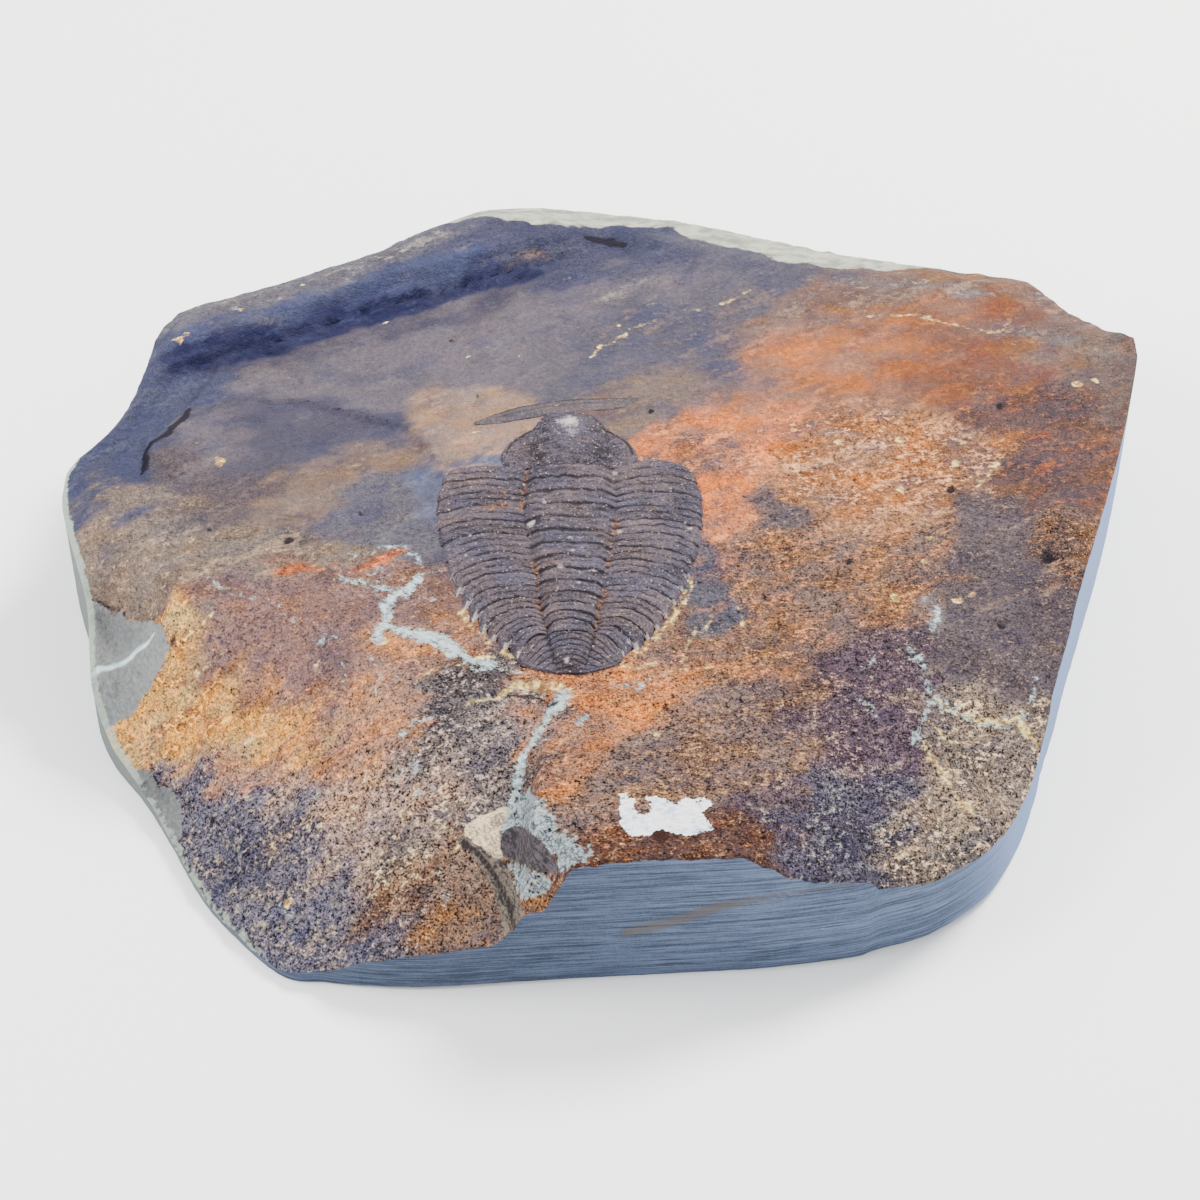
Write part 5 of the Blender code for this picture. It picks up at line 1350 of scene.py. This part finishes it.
def makeHead():
    # the glabella is a dome, 1 - (out / half)^2.6 - ((y - middle) / length)^4, between two low cheeks
    x, y, radius = plateGrid(mirrored(headSide + headBack), head["cells"])
    signed = x - midline(y)
    out = np.abs(signed)
    half = head["lobeHalf"] - 0.5 * smoothStep(9, 13, y) + 0.3 * grain(x, y, 4, 233)
    lengthwise = np.abs((y - head["lobeMiddle"]) / head["lobeLength"])
    dome = np.clip(1 - (out / half) ** 2.6 - lengthwise**4, 0, 1)
    cheek = 0.35 * mound(out, y, 7.6, 9.4, 2.0, 2.8)
    depth, dark = carved(cutHead(x, y, radius, signed, half), headGrooves)
    z = animal["crest"] + 0.15 + head["rise"] * dome**0.7 + cheek - depth
    z = z - head["rimDrop"] * smoothStep(0.955, 1, radius) + head["lumps"] * roughness(x, y, 4, 231)

    sediment = 0.35 * hill(out, 6.8, 1.2) * smoothStep(9, 7, y) + 0.3 * mound(signed, y, 6.6, 9.6, 1.3, 1.2)
    white = 0.85 * mound(x, y, *head["whiteSpot"], 1.2 * 1.6, 1.6)
    pale = np.maximum(white, 0.5 * mound(x, y, *head["palerSpot"], 1.6, 1.8))
    halo = mound(x, y, *head["halo"], 3.0, 3.2)
    # painted shade darkens the furrow along the dome's sides
    bright = 0.9 * halo - 0.22 - 0.35 * hill(out, half, 1.4) + 0.7 * roughness(x, y, 4.5, 237)
    bright = bright + 0.4 * smoothStep(7.5, 9.5, out)
    marks = shellMarks(dark, sediment, pale, bright, 0.8 * halo + 0.6 * roughness(x, y, 6, 239))
    piece = solidFromGrid("cranidium_plate", np.stack([x, y, z], -1), animal["floor"], 1, marks=marks)
    finishPiece(piece, shellMaterial, "cranidium")


def makeTail():
    # a short vaulted lobe that narrows backwards, with rings that arch forward across it, and ribs that curve
    # back on either side by y + 0.06 out^2.35; place is 0 to 1 within a ring or a rib
    x, y, radius = plateGrid(mirrored(tailFront + tailRim), tail["cells"])
    out = np.abs(x - midline(y))
    back = np.clip((-29.0 - y) / 7.2, 0, 1)
    lobe = np.sqrt(np.clip(1 - (out / (3.3 - 1.6 * back)) ** 2, 0, 1)) * smoothStep(1.0, 0.6, back)
    wander = 0.2 * roughness(x, y, 3, 243)
    inLobe = smoothStep(3.6, 3.0, out + 1.5 * back)
    ringPlace = ((y + 0.1 * out**2 + wander) / tail["rings"]) % 1.0
    ribPlace = ((y + 0.06 * out**2.35 + wander) / tail["ribs"]) % 1.0
    place = np.where(inLobe > 0.5, ringPlace, ribPlace)
    worn = np.clip(0.8 + roughness(x, y, 3, 245), 0, 1.2)
    grooves = {
        "line": hill(np.minimum(place, 1 - place), 0, 0.15) * (1 - radius**8) * worn,
        "furrow": hill(out + 1.5 * back, 3.4, 0.35) * smoothStep(0.95, 0.7, back),
        "end": smoothStep(0.5, 0.9, back) * smoothStep(2.6, 0.8, out),
    }
    depth, dark = carved(grooves, tailGrooves)
    z = animal["crest"] - 0.05 + animal["axialRise"] * lobe * (1 - 0.4 * back)
    z = z + 0.4 * smoothStep(8, 3, out) * (1 - back) + tail["step"] * (1 - place)
    z = z - depth + tail["lumps"] * roughness(x, y, 2.5, 241)
    z = z - smoothStep(0.95, 1, radius) * (0.1 + 0.4 * smoothStep(-31, -32.5, y))
    sediment = 0.35 * grooves["furrow"] + 0.2 * smoothStep(0.85, 1, radius)
    bright = 0.6 * roughness(x, y, 3, 247) - 0.5 * inLobe * back
    marks = shellMarks(dark, sediment, shellSpots(x, y), bright, roughness(x, y, 5, 249))
    piece = solidFromGrid("pygidium_plate", np.stack([x, y, z], -1), animal["floor"], 1, marks=marks)
    finishPiece(piece, shellMaterial, "pygidium")


makeHead()
makeTail()
print("head and tail shields made")


# the crescent rim of the head, which broke loose

crescent = {"rows": 260, "columns": 28, "rise": 0.22, "height": 24.56, "floor": 23.9, "smoothing": 12}
# x, y along its middle, width there
border = [
    (-20.4, 15.5, 0.6), (-17.2, 16.6, 2.2), (-13.5, 17.9, 3.0), (-9.4, 19.0, 2.9), (-4.8, 19.8, 2.7),
    (0, 20.0, 2.6), (2.6, 20.35, 1.9), (4.2, 21.3, 0.8),
]


def makeCrescent():
    # a strip along a smoothed line, with a low vault sqrt(1 - across^2) that is higher towards the front
    given = np.array(border)
    x = np.linspace(given[0, 0], given[-1, 0], crescent["rows"])
    y, width = np.interp(x, given[:, 0], given[:, 1]), np.interp(x, given[:, 0], given[:, 2])
    window = 2 * crescent["smoothing"] + 1
    y = np.convolve(np.pad(y, crescent["smoothing"], "edge"), np.ones(window) / window, "valid")
    middle = np.stack([x, y], -1)
    run = np.gradient(middle, axis=0)
    run /= np.linalg.norm(run, axis=1)[:, None]
    normal = np.stack([-run[:, 1], run[:, 0]], -1)
    across = np.linspace(-1, 1, crescent["columns"] + 1)
    place = middle[:, None] + normal[:, None] * (across[None, :, None] * (width / 2)[:, None, None])
    x, y = place[..., 0], place[..., 1]
    vault = crescent["rise"] * np.sqrt(1 - (0.97 * across) ** 2) * (0.75 + 0.25 * across)
    z = crescent["height"] + vault + 0.12 * roughness(x, y, 3, 251)
    # painted shadow along the strip: darkest along the far edge, lighter along the near edge and the middle
    edges = np.maximum(smoothStep(0.7, 0.86, across), 0.5 * smoothStep(-0.75, -0.9, across))
    edges = edges + 0.5 * hill(across, 0.2, 0.14)
    groove = edges * np.clip(0.85 + 0.7 * roughness(x, y, 4, 253), 0, 1)
    tone = 0.8 * roughness(x, y, 5, 255)
    marks = shellMarks(groove, np.full(z.shape, 0.2), 0 * z, tone, tone[::-1])
    piece = solidFromGrid("front_border_rim", np.stack([x, y, z], -1), crescent["floor"], 1, marks=marks)
    finishPiece(piece, borderMaterial, "front_border")


makeCrescent()
print("crescent made")
